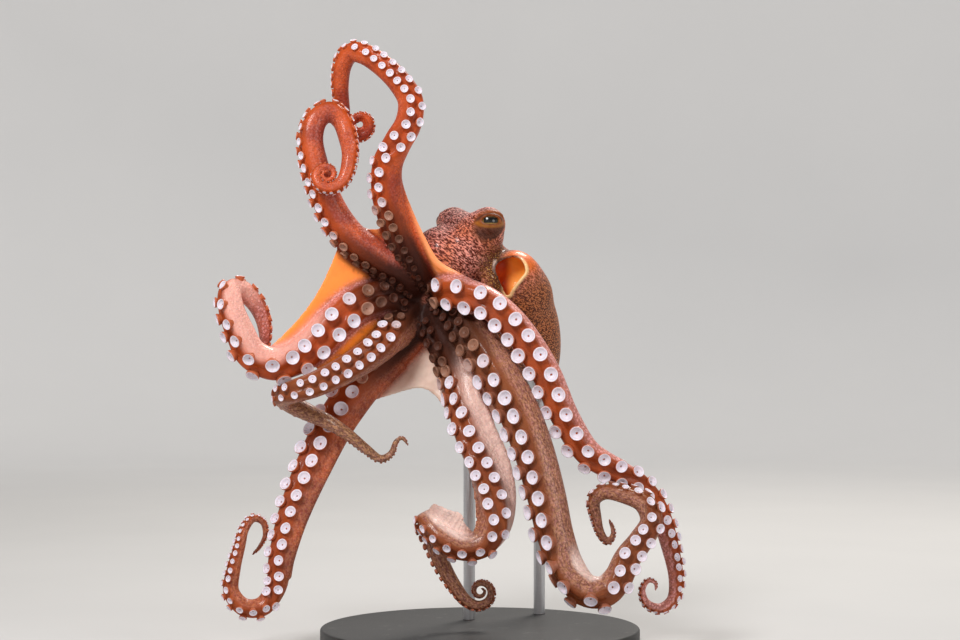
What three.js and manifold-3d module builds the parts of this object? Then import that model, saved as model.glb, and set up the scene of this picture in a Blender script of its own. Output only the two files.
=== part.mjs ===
// A common octopus as a still, life-size model: it hangs as if under water, its arms spread
// towards -Y with the suckers in front, and its head and mantle behind them.
// Two rods on a round base hold it up. Millimetres, +Z up, origin in the middle of the base's underside.
import * as THREE from "three";
import { mergeVertices } from "three/addons/utils/BufferGeometryUtils.js";
import Module from "manifold-3d";

// Driving dimensions.
const GAP = 0.3; // between neighbouring solids
const CROWN_LENGTH = 60; // the stretch of each arm that belongs to the crown
const ARM_CUTS = [0.38, 0.68]; // where an arm is parted, as shares of its length
const TIP_RADIUS = 1.3;
const SLIVER = 0.1; // cuts leave no edge shorter than this
const COIL_STEPS = 8; // knots in each turn of a coiled tip
const WEB_THICKNESS = 3;
const WEB_SETBACK = 0.45; // how far behind an arm's middle the web meets it, in arm radii
const MANTLE_RADIUS = 41;
const MANTLE_FLATNESS = 0.9; // its depth as a share of its width
const EYE_RADIUS = 11;
const EYE_SOCKET_DEPTH = 10; // how far the eyeball's middle lies under the eye bulge's top
const BASE_RADIUS = 160;
const BASE_THICKNESS = 18;
const BASE_CHAMFER = 2;
const ROD_RADIUS = 6;
const SADDLE_RADIUS = 13;
const SADDLE_HEIGHT = 22;
const BALL_SIDES = 14;
const BALL_BANDS = 8;
const ROUND_SIDES = 18; // of the mantle and the rods

// Places of the head and body.
const CROWN_MIDDLE = new THREE.Vector3(-57, 40, 342);
const CROWN_RADII = [32, 18, 34];
const HEAD_MIDDLE = new THREE.Vector3(-10, 56, 399);
const HEAD_RADII = [31, 28, 31];
const MANTLE_FRONT = new THREE.Vector3(12, 58, 389);
const MANTLE_TIP = new THREE.Vector3(72, 112, 256);
const COLLAR_MIDDLE = new THREE.Vector3(34, 48, 369); // the mantle's free front edge bulges round the opening
const COLLAR_RADIUS = 28;
const SHOULDER_MIDDLE = new THREE.Vector3(44, 60, 352); // the swell between the collar and the widest part
const SHOULDER_RADIUS = 30;
const MANTLE_OPENING = new THREE.Vector3(32, 25, 371);
const MANTLE_OPENING_RADII = [17.5, 21, 19.5];
const FUNNEL_ROOT = new THREE.Vector3(13, 45, 373);
const FUNNEL_MOUTH = new THREE.Vector3(4, 21, 347);
const EYES = {
  eye_left: { bulge: new THREE.Vector3(8, 34, 422), gaze: new THREE.Vector3(0.17, -0.95, 0.2) },
  eye_right: { bulge: new THREE.Vector3(-27, 78, 424), gaze: new THREE.Vector3(-0.62, 0.75, 0.22) },
};
const BULGE_RADIUS = 18;
const BROW_RADIUS = 25; // the swelling that carries each eye bulge
const NECK = [
  // from the crown, under the head, into the mantle: [x, y, z, radius]
  [-62, 40, 338, 20],
  [-50, 46, 354, 28],
  [-38, 56, 389, 32],
  [-12, 58, 394, 31],
  [14, 62, 380, 24],
];

// Where each rod stands, and how high its saddle's rim reaches up the body.
const RODS = {
  stand_rod_head: { x: -11, y: 58, saddle: 364 },
  stand_rod_mantle: { x: 62, y: 102, saddle: 262 },
};

// Each arm: its thickness at the root, how its thickness falls off, and its route from the mouth outwards.
// A knot is [x, y, z] followed by the way the suckers face there. A coil goes on from the last knot.
// A fin stands out from corners of the cross-section over a stretch of the arm.
const ARMS = {
  arm_l1: {
    root: 16,
    taper: 2.5,
    route: [
      [-40, 30, 350, -0.6, -0.8, 0],
      [-31, 4, 354, -0.8, -0.5, -0.2],
      [-14, -14, 351, -0.2, -0.9, -0.2],
      [9, -24, 341, 0, -1, -0.2],
      [34, -32, 319, -0.2, -1, -0.15],
      [63, -42, 276, -0.4, -1, 0],
      [84, -46, 229, -0.5, -1, -0.1],
      [106, -44, 195, -0.5, -1, -0.2],
      [132, -39, 178, -0.2, -1, 0],
      [158, -32, 161, 0.3, -0.9, 0.3],
      [176, -28, 136, 0.7, -0.6, 0.3],
      [187, -27, 103, 0.8, -0.6, 0.1],
      [193, -31, 69, 0.8, -0.6, -0.1],
      [189, -36, 49, 0.6, -0.5, -0.7],
      [176, -42, 42, 0, -0.4, -1],
      [163, -46, 48, -0.7, -0.2, -0.7],
      [159, -48, 61, -1, -0.2, 0],
      [165, -48, 70, -0.4, -0.2, 0.9],
      [172, -46, 67, 0.7, -0.1, 0.7],
      [172, -45, 60, 1, 0, -0.2],
    ],
  },
  arm_l2: {
    root: 21.5,
    taper: 2.4,
    route: [
      [-36, 30, 335, -0.3, -1, 0.2],
      [-20, 6, 323, -0.5, -0.9, 0.3],
      [-1, -19, 300, -0.6, -0.8, 0],
      [20, -38, 271, -0.75, -0.65, 0],
      [38, -49, 237, -0.72, -0.7, 0],
      [53, -60, 198, -0.72, -0.7, 0],
      [65, -69, 155, -0.78, -0.62, 0],
      [74, -76, 115, -0.82, -0.55, -0.1],
      [85, -81, 86, -0.8, -0.2, -0.6],
      [101, -85, 66, -0.3, -0.5, -0.8],
      [119, -85, 64, 0.2, -0.8, -0.5],
      [133, -81, 76, 0.3, -1, -0.1],
      [142, -77, 94, 0.1, -1, 0],
      [156, -73, 112, 0.1, -1, 0],
      [166, -70, 130, 0.4, -0.8, 0.4],
      [159, -66, 147, 0.3, -0.3, 0.9],
      [140, -60, 155, 0, -0.2, 1],
      [122, -54, 157, -0.2, 0, 1],
      [112, -48, 149, -1, 0, 0.2],
      [114, -42, 132, -1, 0, -0.1],
      [119, -39, 115, -1, 0.1, -0.2],
      [126, -37, 107, -0.3, 0.1, -1],
      [131, -38, 115, 1, 0, 0.1],
      [127, -40, 129, 1, 0, 0.3],
    ],
  },
  arm_l3: {
    root: 19.5,
    taper: 1.6,
    fins: [
      { corners: [1, 2], from: 75, to: 235, height: 8 },
      { corners: [7], from: 258, to: 330, height: 20 },
    ],
    route: [
      [-50, 30, 323, -0.3, -1, 0],
      [-35, 10, 303, -0.7, -0.7, 0.1],
      [-22, 6, 273, -0.85, -0.55, 0],
      [-14, -8, 244, -0.85, -0.55, 0],
      [-8, -25, 212, -0.5, -0.9, 0],
      [5, -39, 178, -0.2, -1, 0],
      [13, -50, 149, 0.1, -1, 0],
      [13, -57, 123, 0.3, -0.9, -0.3],
      [1, -61, 107, 0.1, -0.7, -0.7],
      [-18, -61, 104, -0.1, -0.7, -0.7],
      [-37, -58, 113, -0.3, -0.7, -0.6],
      [-50, -48, 126, -0.9, -0.3, -0.3],
      [-53, -34, 125, -1, 0.3, -0.1],
      [-47, -24, 109, -0.7, 0.6, -0.4],
      [-37, -20, 83, -0.8, 0.5, -0.3],
      [-25, -20, 62, -0.8, 0.2, -0.5],
      [-12, -21, 46, -0.8, 0, -0.6],
    ],
    coil: { radius: 16, turns: 1.6, last: 3, drift: 4 },
  },
  arm_l4: {
    root: 21,
    taper: 1.4,
    fins: [{ corners: [1, 2], from: 50, to: 290, height: 4 }],
    route: [
      [-64, 32, 323, -0.3, -1, 0],
      [-83, 35, 300, -0.5, -0.9, 0],
      [-113, 30, 268, -0.6, -0.8, 0],
      [-144, 20, 228, -0.5, -0.85, 0],
      [-168, 6, 181, -0.5, -0.85, 0],
      [-187, -10, 132, -0.5, -0.85, 0],
      [-197, -22, 91, -0.5, -0.85, 0],
      [-202, -28, 60, -0.3, -0.9, -0.2],
      [-215, -34, 43, -0.1, -0.7, -0.7],
      [-232, -38, 43, -0.6, -0.7, -0.4],
      [-244, -40, 58, -0.8, -0.6, 0],
      [-242, -40, 79, -0.7, -0.7, 0],
      [-236, -38, 103, -0.7, -0.7, 0],
      [-232, -34, 119, -0.7, -0.5, 0.3],
      [-224, -28, 129, -0.1, -0.3, 1],
      [-215, -22, 125, 0.8, 0, 0.6],
      [-213, -18, 112, 1, 0, 0],
      [-219, -15, 100, 1, 0, -0.4],
      [-226, -14, 92, 0.4, 0, -1],
    ],
  },
  arm_r4: {
    root: 18,
    taper: 1.3,
    route: [
      [-73, 30, 331, -0.2, -0.8, 0.5],
      [-86, 9, 312, -0.2, -0.8, 0.5],
      [-103, -7, 296, 0, -0.9, 0.3],
      [-121, -19, 283, 0, -1, 0.2],
      [-142, -28, 271, 0, -1, 0.1],
      [-164, -34, 261, 0, -1, 0],
      [-182, -33, 255, -0.4, -0.9, 0],
      [-194, -20, 250, -1, -0.1, 0],
      [-189, -5, 242, -0.5, 0.8, -0.2],
      [-172, -7, 233, -0.1, 1, -0.3],
      [-151, -17, 224, -0.1, 1, -0.3],
      [-131, -25, 212, -0.2, 0.9, -0.4],
      [-113, -27, 198, -0.3, 0.8, -0.5],
      [-98, -26, 188, 0, 0.6, -0.8],
      [-88, -25, 193, 0.8, 0.4, -0.4],
      [-83, -25, 205, 0.9, 0.3, 0],
      [-77, -24, 208, 0, 0.2, 1],
      [-71, -22, 201, 1, 0, 0.3],
    ],
  },
  arm_r3: {
    root: 20,
    taper: 2.1,
    route: [
      [-77, 30, 343, -0.2, -0.95, 0.2],
      [-96, 16, 348, 0, -1, 0.2],
      [-119, 4, 342, 0, -1, 0],
      [-141, -6, 325, 0, -1, -0.1],
      [-162, -13, 303, 0, -1, -0.2],
      [-183, -18, 287, 0.1, -0.9, -0.3],
      [-205, -25, 282, -0.1, -0.85, -0.5],
      [-225, -30, 292, -0.6, -0.75, -0.3],
      [-236, -32, 313, -0.8, -0.6, 0],
      [-245, -30, 336, -0.9, -0.4, 0.2],
      [-247, -20, 353, -0.6, 0, 0.8],
      [-239, -9, 355, 0.1, 0.2, 1],
      [-227, 0, 344, 0.7, 0.3, 0.6],
      [-219, 4, 329, 1, 0.3, 0.3],
      [-216, 8, 311, 1, 0.3, 0],
      [-218, 13, 297, 0.7, 0.3, -0.6],
      [-226, 18, 289, 0, 0.3, -1],
      [-236, 24, 289, -0.7, 0.2, -0.7],
      [-241, 27, 297, -1, 0.2, 0],
    ],
  },
  arm_r2: {
    root: 18,
    taper: 1.5,
    route: [
      [-70, 30, 357, -0.3, -0.9, 0.1],
      [-82, 12, 371, -0.3, -0.8, -0.4],
      [-101, 1, 387, -0.5, -0.5, -0.7],
      [-123, -6, 402, -0.6, -0.5, -0.6],
      [-141, -10, 424, -0.8, -0.5, -0.4],
      [-154, -12, 450, -0.85, -0.5, -0.1],
      [-164, -13, 480, -0.9, -0.4, 0],
      [-168, -11, 507, -0.95, -0.3, 0.1],
      [-162, -7, 526, -0.7, -0.1, 0.7],
      [-150, -4, 533, 0.1, 0, 1],
      [-139, -4, 525, 0.8, 0, 0.6],
      [-132, -12, 506, 1, 0, 0],
      [-129, -28, 486, 1, 0, 0],
      [-134, -36, 464, 1, 0, -0.1],
    ],
    coil: { radius: 17, turns: 1.75, last: 3.2, drift: 2 },
  },
  arm_r1: {
    root: 17,
    taper: 1.7,
    route: [
      [-58, 30, 362, -0.1, -1, -0.2],
      [-66, 12, 379, -0.2, -0.9, -0.1],
      [-77, 1, 401, -0.3, -0.9, 0],
      [-86, -6, 428, -0.5, -0.85, 0],
      [-92, -12, 454, -0.7, -0.7, 0],
      [-91, -18, 480, -0.7, -0.7, 0],
      [-82, -22, 500, 0, -1, 0],
      [-71, -22, 520, 0.4, -0.9, 0],
      [-69, -19, 542, 0.4, -0.9, 0.1],
      [-79, -16, 560, 0.2, -0.95, 0.2],
      [-97, -12, 578, 0.1, -0.9, 0.3],
      [-116, -7, 590, 0, -0.8, 0.6],
      [-129, -1, 592, -0.5, -0.3, 0.8],
      [-137, 4, 581, -1, 0, 0.2],
      [-140, 12, 560, -1, 0, 0],
      [-138, 18, 538, -1, 0, 0],
      [-136, 20, 521, -1, 0, 0],
    ],
    coil: { radius: 15, turns: 1.9, last: 3.4, drift: 1 },
  },
};

// Each web is a thin skin between two arms: how far it runs along each, and how deep its free edge arches.
const WEBS = [
  { arms: ["arm_r1", "arm_l1"], reach: [135, 135], arch: 0.55 },
  { arms: ["arm_r2", "arm_r1"], reach: [95, 85], arch: 0.15 },
  { arms: ["arm_r3", "arm_r2"], reach: [175, 100], arch: 0.12 },
  { arms: ["arm_r4", "arm_r3"], reach: [130, 140], arch: 0.1 },
  { arms: ["arm_l4", "arm_r4"], reach: [100, 100], arch: 0.2 },
  { arms: ["arm_l3", "arm_l4"], reach: [165, 105], arch: 0.4 },
  { arms: ["arm_l2", "arm_l3"], reach: [170, 180], arch: 0.25 },
  { arms: ["arm_l1", "arm_l2"], reach: [120, 110], arch: 0.25 },
];

// An arm's cross-section in shares of its radius: [towards the suckers, sideways].
// The two ridges carry the two rows of suckers.
const SECTION = [
  [-0.95, 0],
  [-0.5, -0.85],
  [0.4, -0.95],
  [1.08, -0.5],
  [0.82, 0],
  [1.08, 0.5],
  [0.4, 0.95],
  [-0.5, 0.85],
];

const FINISHES = {
  skin: { color: 0xb4603c, roughness: 0.5, metalness: 0 },
  arms: { color: 0xbc5a38, roughness: 0.45, metalness: 0 },
  eye: { color: 0xb98a2e, roughness: 0.12, metalness: 0 },
  base: { color: 0x2b2b2d, roughness: 0.4, metalness: 0 },
  steel: { color: 0xb8babd, roughness: 0.3, metalness: 1 },
};

const wasm = await Module();
wasm.setup();

// ---- Solids: joining and cutting ----

function solidFrom(geometry) {
  const bare = geometry.clone();
  bare.deleteAttribute("normal");
  bare.deleteAttribute("uv");
  const merged = mergeVertices(bare, 1e-4);
  return new wasm.Manifold(
    new wasm.Mesh({
      numProp: 3,
      vertProperties: new Float32Array(merged.attributes.position.array),
      triVerts: new Uint32Array(merged.index.array),
    }),
  );
}

function joined(solids) {
  return solids.reduce((all, solid) => all.add(solid));
}

// The largest single body that is left once the cutters are taken away.
function trimmed(solid, cutters) {
  const left = cutters.reduce((rest, cutter) => rest.subtract(cutter), solid);
  const bodies = left.asOriginal().simplify(SLIVER).decompose();
  return bodies.reduce((best, body) => (body.volume() > best.volume() ? body : best));
}

function meshOf(name, solid, finish) {
  const made = solid.getMesh();
  const geometry = new THREE.BufferGeometry();
  geometry.setAttribute("position", new THREE.BufferAttribute(made.vertProperties, 3));
  geometry.setIndex(new THREE.BufferAttribute(made.triVerts, 1));
  const mesh = new THREE.Mesh(geometry, new THREE.MeshStandardMaterial(FINISHES[finish]));
  mesh.name = name;
  return mesh;
}

// A closed skin over rings of vertices that all have the same number of sides, with a flat at each end.
function loft(vertices, sides) {
  const faces = [];
  const lastRing = vertices.length / 3 - sides;
  for (let j = 0; j < sides; j++) {
    const next = (j + 1) % sides;
    for (let ring = 0; ring < lastRing; ring += sides) {
      faces.push(ring + j, ring + next, ring + sides + next, ring + j, ring + sides + next, ring + sides + j);
    }
  }
  for (let j = 1; j < sides - 1; j++) faces.push(0, j + 1, j, lastRing, lastRing + j, lastRing + j + 1);
  const geometry = new THREE.BufferGeometry();
  geometry.setAttribute("position", new THREE.Float32BufferAttribute(vertices, 3));
  return geometry.setIndex(faces);
}

// ---- Arms ----

// The knots of a coil that winds inwards from the end of a route, suckers outwards.
function coilKnots(route, { radius, turns, last, drift }) {
  const [before, end] = route.slice(-2).map(([x, y, z]) => new THREE.Vector3(x, y, z));
  const along = end.clone().sub(before).normalize();
  const outward = new THREE.Vector3(...route.at(-1).slice(3));
  outward.addScaledVector(along, -outward.dot(along)).normalize();
  const axis = new THREE.Vector3().crossVectors(along, outward);
  const middle = end.clone().addScaledVector(outward, -radius);
  const count = Math.round(turns * COIL_STEPS);
  const knots = [];
  for (let i = 1; i <= count; i++) {
    const share = i / count;
    const angle = 2 * Math.PI * turns * share;
    const facing = outward.clone().multiplyScalar(Math.cos(angle)).addScaledVector(along, Math.sin(angle));
    const place = middle.clone().addScaledVector(facing, radius * (last / radius) ** share);
    place.addScaledVector(axis, drift * share);
    knots.push([...place.toArray(), ...facing.toArray()]);
  }
  return knots;
}

class Arm {
  constructor({ root, taper, route, coil, fins = [] }) {
    const knots = coil ? [...route, ...coilKnots(route, coil)] : route;
    this.root = root;
    this.taper = taper;
    this.fins = fins;
    this.curve = new THREE.CatmullRomCurve3(
      knots.map(([x, y, z]) => new THREE.Vector3(x, y, z)),
      false,
      "centripetal",
    );
    this.curve.arcLengthDivisions = 60 * knots.length;
    this.facings = knots.map((knot) => new THREE.Vector3(...knot.slice(3)).normalize());
    this.length = this.curve.getLength();
  }

  radius(s) {
    return this.root * (1 - (s / this.length) ** this.taper) + TIP_RADIUS;
  }

  point(s) {
    return this.curve.getPointAt(THREE.MathUtils.clamp(s / this.length, 0, 1));
  }

  // Which way the suckers face, square to the arm.
  facing(s, along) {
    const last = this.facings.length - 1;
    const knot = this.curve.getUtoTmapping(THREE.MathUtils.clamp(s / this.length, 0, 1)) * last;
    const i = Math.min(Math.floor(knot), last - 1);
    const blend = THREE.MathUtils.smoothstep(knot - i, 0, 1);
    const facing = this.facings[i].clone().lerp(this.facings[i + 1], blend);
    return facing.addScaledVector(along, -facing.dot(along)).normalize();
  }

  // How far a corner of the section stands out as part of a fin.
  fin(corner, s) {
    const heights = this.fins
      .filter(({ corners, from, to }) => corners.includes(corner) && s > from && s < to)
      .map(({ from, to, height }) => height * Math.sin((Math.PI * (s - from)) / (to - from)) ** 0.6);
    return Math.max(0, ...heights);
  }

  // The stations of a stretch, closer together where the arm is thin.
  stations(from, to) {
    const list = [from];
    for (let s = from; s < to; ) {
      s += 0.85 * this.radius(s) + 3.5;
      if (s < to - 2) list.push(s);
    }
    return [...list, to];
  }

  // The stretch as one closed solid; grow makes it that much thicker all round.
  solid(from, to, grow = 0) {
    const vertices = [];
    for (const s of this.stations(from, to)) {
      const span = 0.4 * this.radius(s) + 1;
      const along = this.point(s + span).sub(this.point(s - span)).normalize();
      const facing = this.facing(s, along);
      const sideways = new THREE.Vector3().crossVectors(along, facing);
      const radius = this.radius(s) + grow;
      for (const [corner, [out, aside]] of SECTION.entries()) {
        const reach = radius + this.fin(corner, s) / Math.hypot(out, aside);
        const vertex = this.point(s).addScaledVector(facing, out * reach);
        vertices.push(...vertex.addScaledVector(sideways, aside * reach).toArray());
      }
    }
    return solidFrom(loft(vertices, SECTION.length));
  }
}

const arms = Object.fromEntries(Object.entries(ARMS).map(([name, shape]) => [name, new Arm(shape)]));

// ---- Web ----

// A thin skin behind two arms, closed all round; its free edge arches back between them.
function webSolid({ arms: names, reach, arch }, acrossSteps = 4, alongSteps = 4) {
  const [one, other] = names.map((name) => arms[name]);
  const rows = [];
  for (let i = 0; i <= alongSteps; i++) {
    const row = [];
    for (let j = 0; j <= acrossSteps; j++) {
      const across = j / acrossSteps;
      const share = (i / alongSteps) * (1 - arch * Math.sin(Math.PI * across));
      const ends = [one, other].map((arm, k) => {
        const s = share * reach[k];
        const along = arm.point(s + 4).sub(arm.point(s - 4)).normalize();
        return arm.point(s).addScaledVector(arm.facing(s, along), -WEB_SETBACK * arm.radius(s));
      });
      row.push(ends[0].clone().lerp(ends[1], across));
    }
    rows.push(row);
  }
  const columns = acrossSteps + 1;
  const vertices = [];
  for (const side of [-0.5, 0.5]) {
    rows.forEach((row, i) =>
      row.forEach((point, j) => {
        const up = rows[Math.min(i + 1, alongSteps)][j].clone().sub(rows[Math.max(i - 1, 0)][j]);
        const over = row[Math.min(j + 1, acrossSteps)].clone().sub(row[Math.max(j - 1, 0)]);
        const normal = up.cross(over).normalize();
        vertices.push(...point.clone().addScaledVector(normal, side * WEB_THICKNESS).toArray());
      }),
    );
  }
  const layer = rows.length * columns;
  const faces = [];
  const quad = (a, b, c, d) => faces.push(a, b, c, a, c, d);
  for (let i = 0; i < alongSteps; i++) {
    for (let j = 0; j < acrossSteps; j++) {
      const corner = i * columns + j;
      quad(corner, corner + 1, corner + columns + 1, corner + columns);
      quad(layer + corner, layer + corner + columns, layer + corner + columns + 1, layer + corner + 1);
    }
  }
  const rim = [];
  for (let j = 0; j < acrossSteps; j++) rim.push(j);
  for (let i = 0; i < alongSteps; i++) rim.push(i * columns + acrossSteps);
  for (let j = acrossSteps; j > 0; j--) rim.push(alongSteps * columns + j);
  for (let i = alongSteps; i > 0; i--) rim.push(i * columns);
  rim.forEach((a, k) => {
    const b = rim[(k + 1) % rim.length];
    quad(a, layer + a, layer + b, b);
  });
  const geometry = new THREE.BufferGeometry();
  geometry.setAttribute("position", new THREE.Float32BufferAttribute(vertices, 3));
  geometry.setIndex(faces);
  const solid = solidFrom(geometry);
  if (solid.volume() > 0) return solid;
  // The two arms came in the other order round the mouth, so the faces look inwards: turn them.
  for (let i = 0; i < faces.length; i += 3) [faces[i], faces[i + 1]] = [faces[i + 1], faces[i]];
  geometry.setIndex(faces);
  return solidFrom(geometry);
}

// ---- Head, mantle, eyes and funnel ----

function ellipsoid(middle, [rx, ry, rz], grow = 0) {
  const shape = new THREE.SphereGeometry(1, BALL_SIDES, BALL_BANDS);
  shape.scale(rx + grow, ry + grow, rz + grow);
  return solidFrom(shape.translate(middle.x, middle.y, middle.z));
}

// Turns a shape that points along +Y to point another way from a place.
function laidAlong(geometry, from, way) {
  const turn = new THREE.Quaternion().setFromUnitVectors(new THREE.Vector3(0, 1, 0), way.clone().normalize());
  return geometry.applyQuaternion(turn).translate(from.x, from.y, from.z);
}

// A ball whose pole looks the given way.
function ball(middle, radius, way) {
  return solidFrom(laidAlong(new THREE.SphereGeometry(radius, BALL_SIDES, BALL_BANDS), middle, way));
}

// A round tube through [x, y, z, radius] knots, with a flat at each end.
function tube(knots, sides, steps, grow = 0) {
  const middles = knots.map(([x, y, z]) => new THREE.Vector3(x, y, z));
  const curve = new THREE.CatmullRomCurve3(middles, false, "centripetal");
  const sizes = new THREE.CatmullRomCurve3(knots.map((knot, i) => new THREE.Vector3(i, knot[3], 0)));
  const rings = Array.from({ length: steps + 1 }, (_, i) => {
    const share = i / steps;
    const radius = sizes.getPoint(share).y + grow;
    return { place: curve.getPoint(share), along: curve.getTangent(share), radius };
  });
  rings[0].place.addScaledVector(rings[0].along, -grow);
  rings[steps].place.addScaledVector(rings[steps].along, grow);
  const vertices = rings.flatMap(({ place, along, radius }) => {
    const over = new THREE.Vector3(0, 1, 0).addScaledVector(along, -along.y).normalize();
    const aside = new THREE.Vector3().crossVectors(along, over);
    return Array.from({ length: sides }, (_, j) => {
      const angle = (2 * Math.PI * j) / sides;
      const edge = over.clone().multiplyScalar(Math.cos(angle)).addScaledVector(aside, Math.sin(angle));
      return place.clone().addScaledVector(edge, radius).toArray();
    }).flat();
  });
  return solidFrom(loft(vertices, sides));
}

function headSolid(grow = 0) {
  const eyes = Object.values(EYES).flatMap(({ bulge, gaze }) => [
    ball(bulge, BULGE_RADIUS + grow, gaze),
    ball(bulge.clone().lerp(HEAD_MIDDLE, 0.45), BROW_RADIUS + grow, gaze),
  ]);
  return joined([ellipsoid(HEAD_MIDDLE, HEAD_RADII, grow), tube(NECK, 12, 6, grow), ...eyes]);
}

function eyeMiddle({ bulge, gaze }) {
  return bulge.clone().addScaledVector(gaze.clone().normalize(), BULGE_RADIUS - EYE_SOCKET_DEPTH);
}

function eyeSolid(eye, grow = 0) {
  return ball(eyeMiddle(eye), EYE_RADIUS + grow, eye.gaze);
}

// The mantle is a sac with a collar: quick to widen behind the head, and round at its far end.
function mantleSolid(grow = 0) {
  const length = MANTLE_TIP.distanceTo(MANTLE_FRONT);
  const outline = [new THREE.Vector2(0, -grow)];
  const steps = 14;
  for (let i = 1; i < steps; i++) {
    const share = (1 - Math.cos((Math.PI * i) / steps)) / 2;
    const width = Math.sin(Math.PI * share ** 0.8) ** 0.62;
    outline.push(new THREE.Vector2(MANTLE_RADIUS * width + grow, length * share));
  }
  outline.push(new THREE.Vector2(0, length + grow));
  const sac = new THREE.LatheGeometry(outline, ROUND_SIDES).scale(1, 1, MANTLE_FLATNESS);
  const laid = laidAlong(sac, MANTLE_FRONT, MANTLE_TIP.clone().sub(MANTLE_FRONT));
  const forward = new THREE.Vector3(0, -1, 0);
  const collar = ball(COLLAR_MIDDLE, COLLAR_RADIUS + grow, forward);
  const shoulder = ball(SHOULDER_MIDDLE, SHOULDER_RADIUS + grow, forward);
  return joined([solidFrom(laid), collar, shoulder]);
}

// A short cone with a shallow pit in its mouth.
function funnelSolid() {
  const way = FUNNEL_MOUTH.clone().sub(FUNNEL_ROOT);
  const length = way.length();
  const outline = [
    [0, 0],
    [11, 0],
    [9.5, 15],
    [6.5, length],
    [4.5, length],
    [4, length - 8],
    [0, length - 9],
  ].map(([radius, height]) => new THREE.Vector2(radius, height));
  return solidFrom(laidAlong(new THREE.LatheGeometry(outline, 12), FUNNEL_ROOT, way));
}

// ---- Stand ----

// A rod that opens at its top into a saddle, which the body's underside then shapes.
function rodSolid({ x, y, saddle }) {
  const outline = [
    [0, BASE_THICKNESS + GAP],
    [ROD_RADIUS, BASE_THICKNESS + GAP],
    [ROD_RADIUS, saddle - SADDLE_HEIGHT],
    [SADDLE_RADIUS, saddle],
    [0, saddle],
  ].map(([radius, height]) => new THREE.Vector2(radius, height));
  const rod = new THREE.LatheGeometry(outline, ROUND_SIDES).rotateX(Math.PI / 2).translate(x, y, 0);
  return trimmed(solidFrom(rod), [headSolid(GAP), mantleSolid(GAP)]);
}

function baseSolid() {
  const outline = [
    [0, 0],
    [BASE_RADIUS - BASE_CHAMFER, 0],
    [BASE_RADIUS, BASE_CHAMFER],
    [BASE_RADIUS, BASE_THICKNESS - BASE_CHAMFER],
    [BASE_RADIUS - BASE_CHAMFER, BASE_THICKNESS],
    [0, BASE_THICKNESS],
  ].map(([radius, height]) => new THREE.Vector2(radius, height));
  return solidFrom(new THREE.LatheGeometry(outline, 42).rotateX(Math.PI / 2));
}

// ---- The whole animal on its stand ----

const octopus = new THREE.Group();

for (const [name, arm] of Object.entries(arms)) {
  const [first, second] = ARM_CUTS.map((share) => share * arm.length);
  octopus.add(
    meshOf(`${name}_base`, arm.solid(CROWN_LENGTH + GAP, first), "arms"),
    meshOf(`${name}_middle`, arm.solid(first + GAP, second), "arms"),
    meshOf(`${name}_tip`, arm.solid(second + GAP, arm.length), "arms"),
  );
}

const armCutters = Object.values(arms).map((arm) => arm.solid(CROWN_LENGTH, arm.length, GAP));
const crownParts = [
  ellipsoid(CROWN_MIDDLE, CROWN_RADII),
  ...Object.values(arms).map((arm) => arm.solid(0, CROWN_LENGTH)),
  ...WEBS.map((web) => webSolid(web)),
];
octopus.add(meshOf("crown_web", trimmed(joined(crownParts), [headSolid(GAP), ...armCutters]), "arms"));

const eyeCutters = Object.values(EYES).map((eye) => eyeSolid(eye, GAP));
octopus.add(meshOf("head", trimmed(headSolid(), eyeCutters), "skin"));
for (const [name, eye] of Object.entries(EYES)) octopus.add(meshOf(name, eyeSolid(eye), "eye"));

const opening = ellipsoid(MANTLE_OPENING, MANTLE_OPENING_RADII);
const mantle = trimmed(mantleSolid(), [headSolid(GAP), opening]);
octopus.add(meshOf("mantle", mantle, "skin"));
octopus.add(meshOf("funnel", trimmed(funnelSolid(), [headSolid(GAP), mantleSolid(GAP)]), "skin"));

octopus.add(meshOf("stand_base", baseSolid(), "base"));
for (const [name, rod] of Object.entries(RODS)) octopus.add(meshOf(name, rodSolid(rod), "steel"));

export default octopus;
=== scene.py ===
"""A common octopus, life size, on its display stand.

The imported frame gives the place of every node. One skin stands for all the nodes of flesh: it is
worked out as a field of distances to the arms, webs, head and mantle, and meshed where the field is
nought. The suckers, eyes and base are pieces of their own, and the rods are the frame's own solids.
Metres, +Z up.
"""

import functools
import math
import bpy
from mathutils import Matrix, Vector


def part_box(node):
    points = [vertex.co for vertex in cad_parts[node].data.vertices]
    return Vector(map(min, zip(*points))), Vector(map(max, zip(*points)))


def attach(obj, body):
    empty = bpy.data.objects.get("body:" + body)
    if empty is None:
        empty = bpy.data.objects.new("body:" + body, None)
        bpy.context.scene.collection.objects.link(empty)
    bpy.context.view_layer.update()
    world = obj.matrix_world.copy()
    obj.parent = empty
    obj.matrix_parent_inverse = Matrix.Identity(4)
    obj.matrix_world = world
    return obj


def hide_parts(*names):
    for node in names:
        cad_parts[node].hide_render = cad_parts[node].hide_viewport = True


bl_info = {
    "name": "Octopus display model",
    "version": (1, 0, 0),
    "blender": (4, 5, 0),
    "location": "3D View > Sidebar > Octopus",
    "description": "Builds a life-size common octopus on a display stand",
    "category": "Object",
}

import bmesh
import bpy
import numpy as np
import openvdb
from bpy.props import FloatProperty, FloatVectorProperty, IntProperty, PointerProperty
from mathutils import Vector

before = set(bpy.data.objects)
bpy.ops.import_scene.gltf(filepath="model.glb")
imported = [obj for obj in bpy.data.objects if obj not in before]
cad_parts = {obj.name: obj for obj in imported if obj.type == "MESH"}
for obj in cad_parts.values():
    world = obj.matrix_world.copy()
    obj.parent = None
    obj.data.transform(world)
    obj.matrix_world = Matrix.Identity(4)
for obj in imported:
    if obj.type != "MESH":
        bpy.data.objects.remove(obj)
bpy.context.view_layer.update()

# ---- The animal's shape ----

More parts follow.
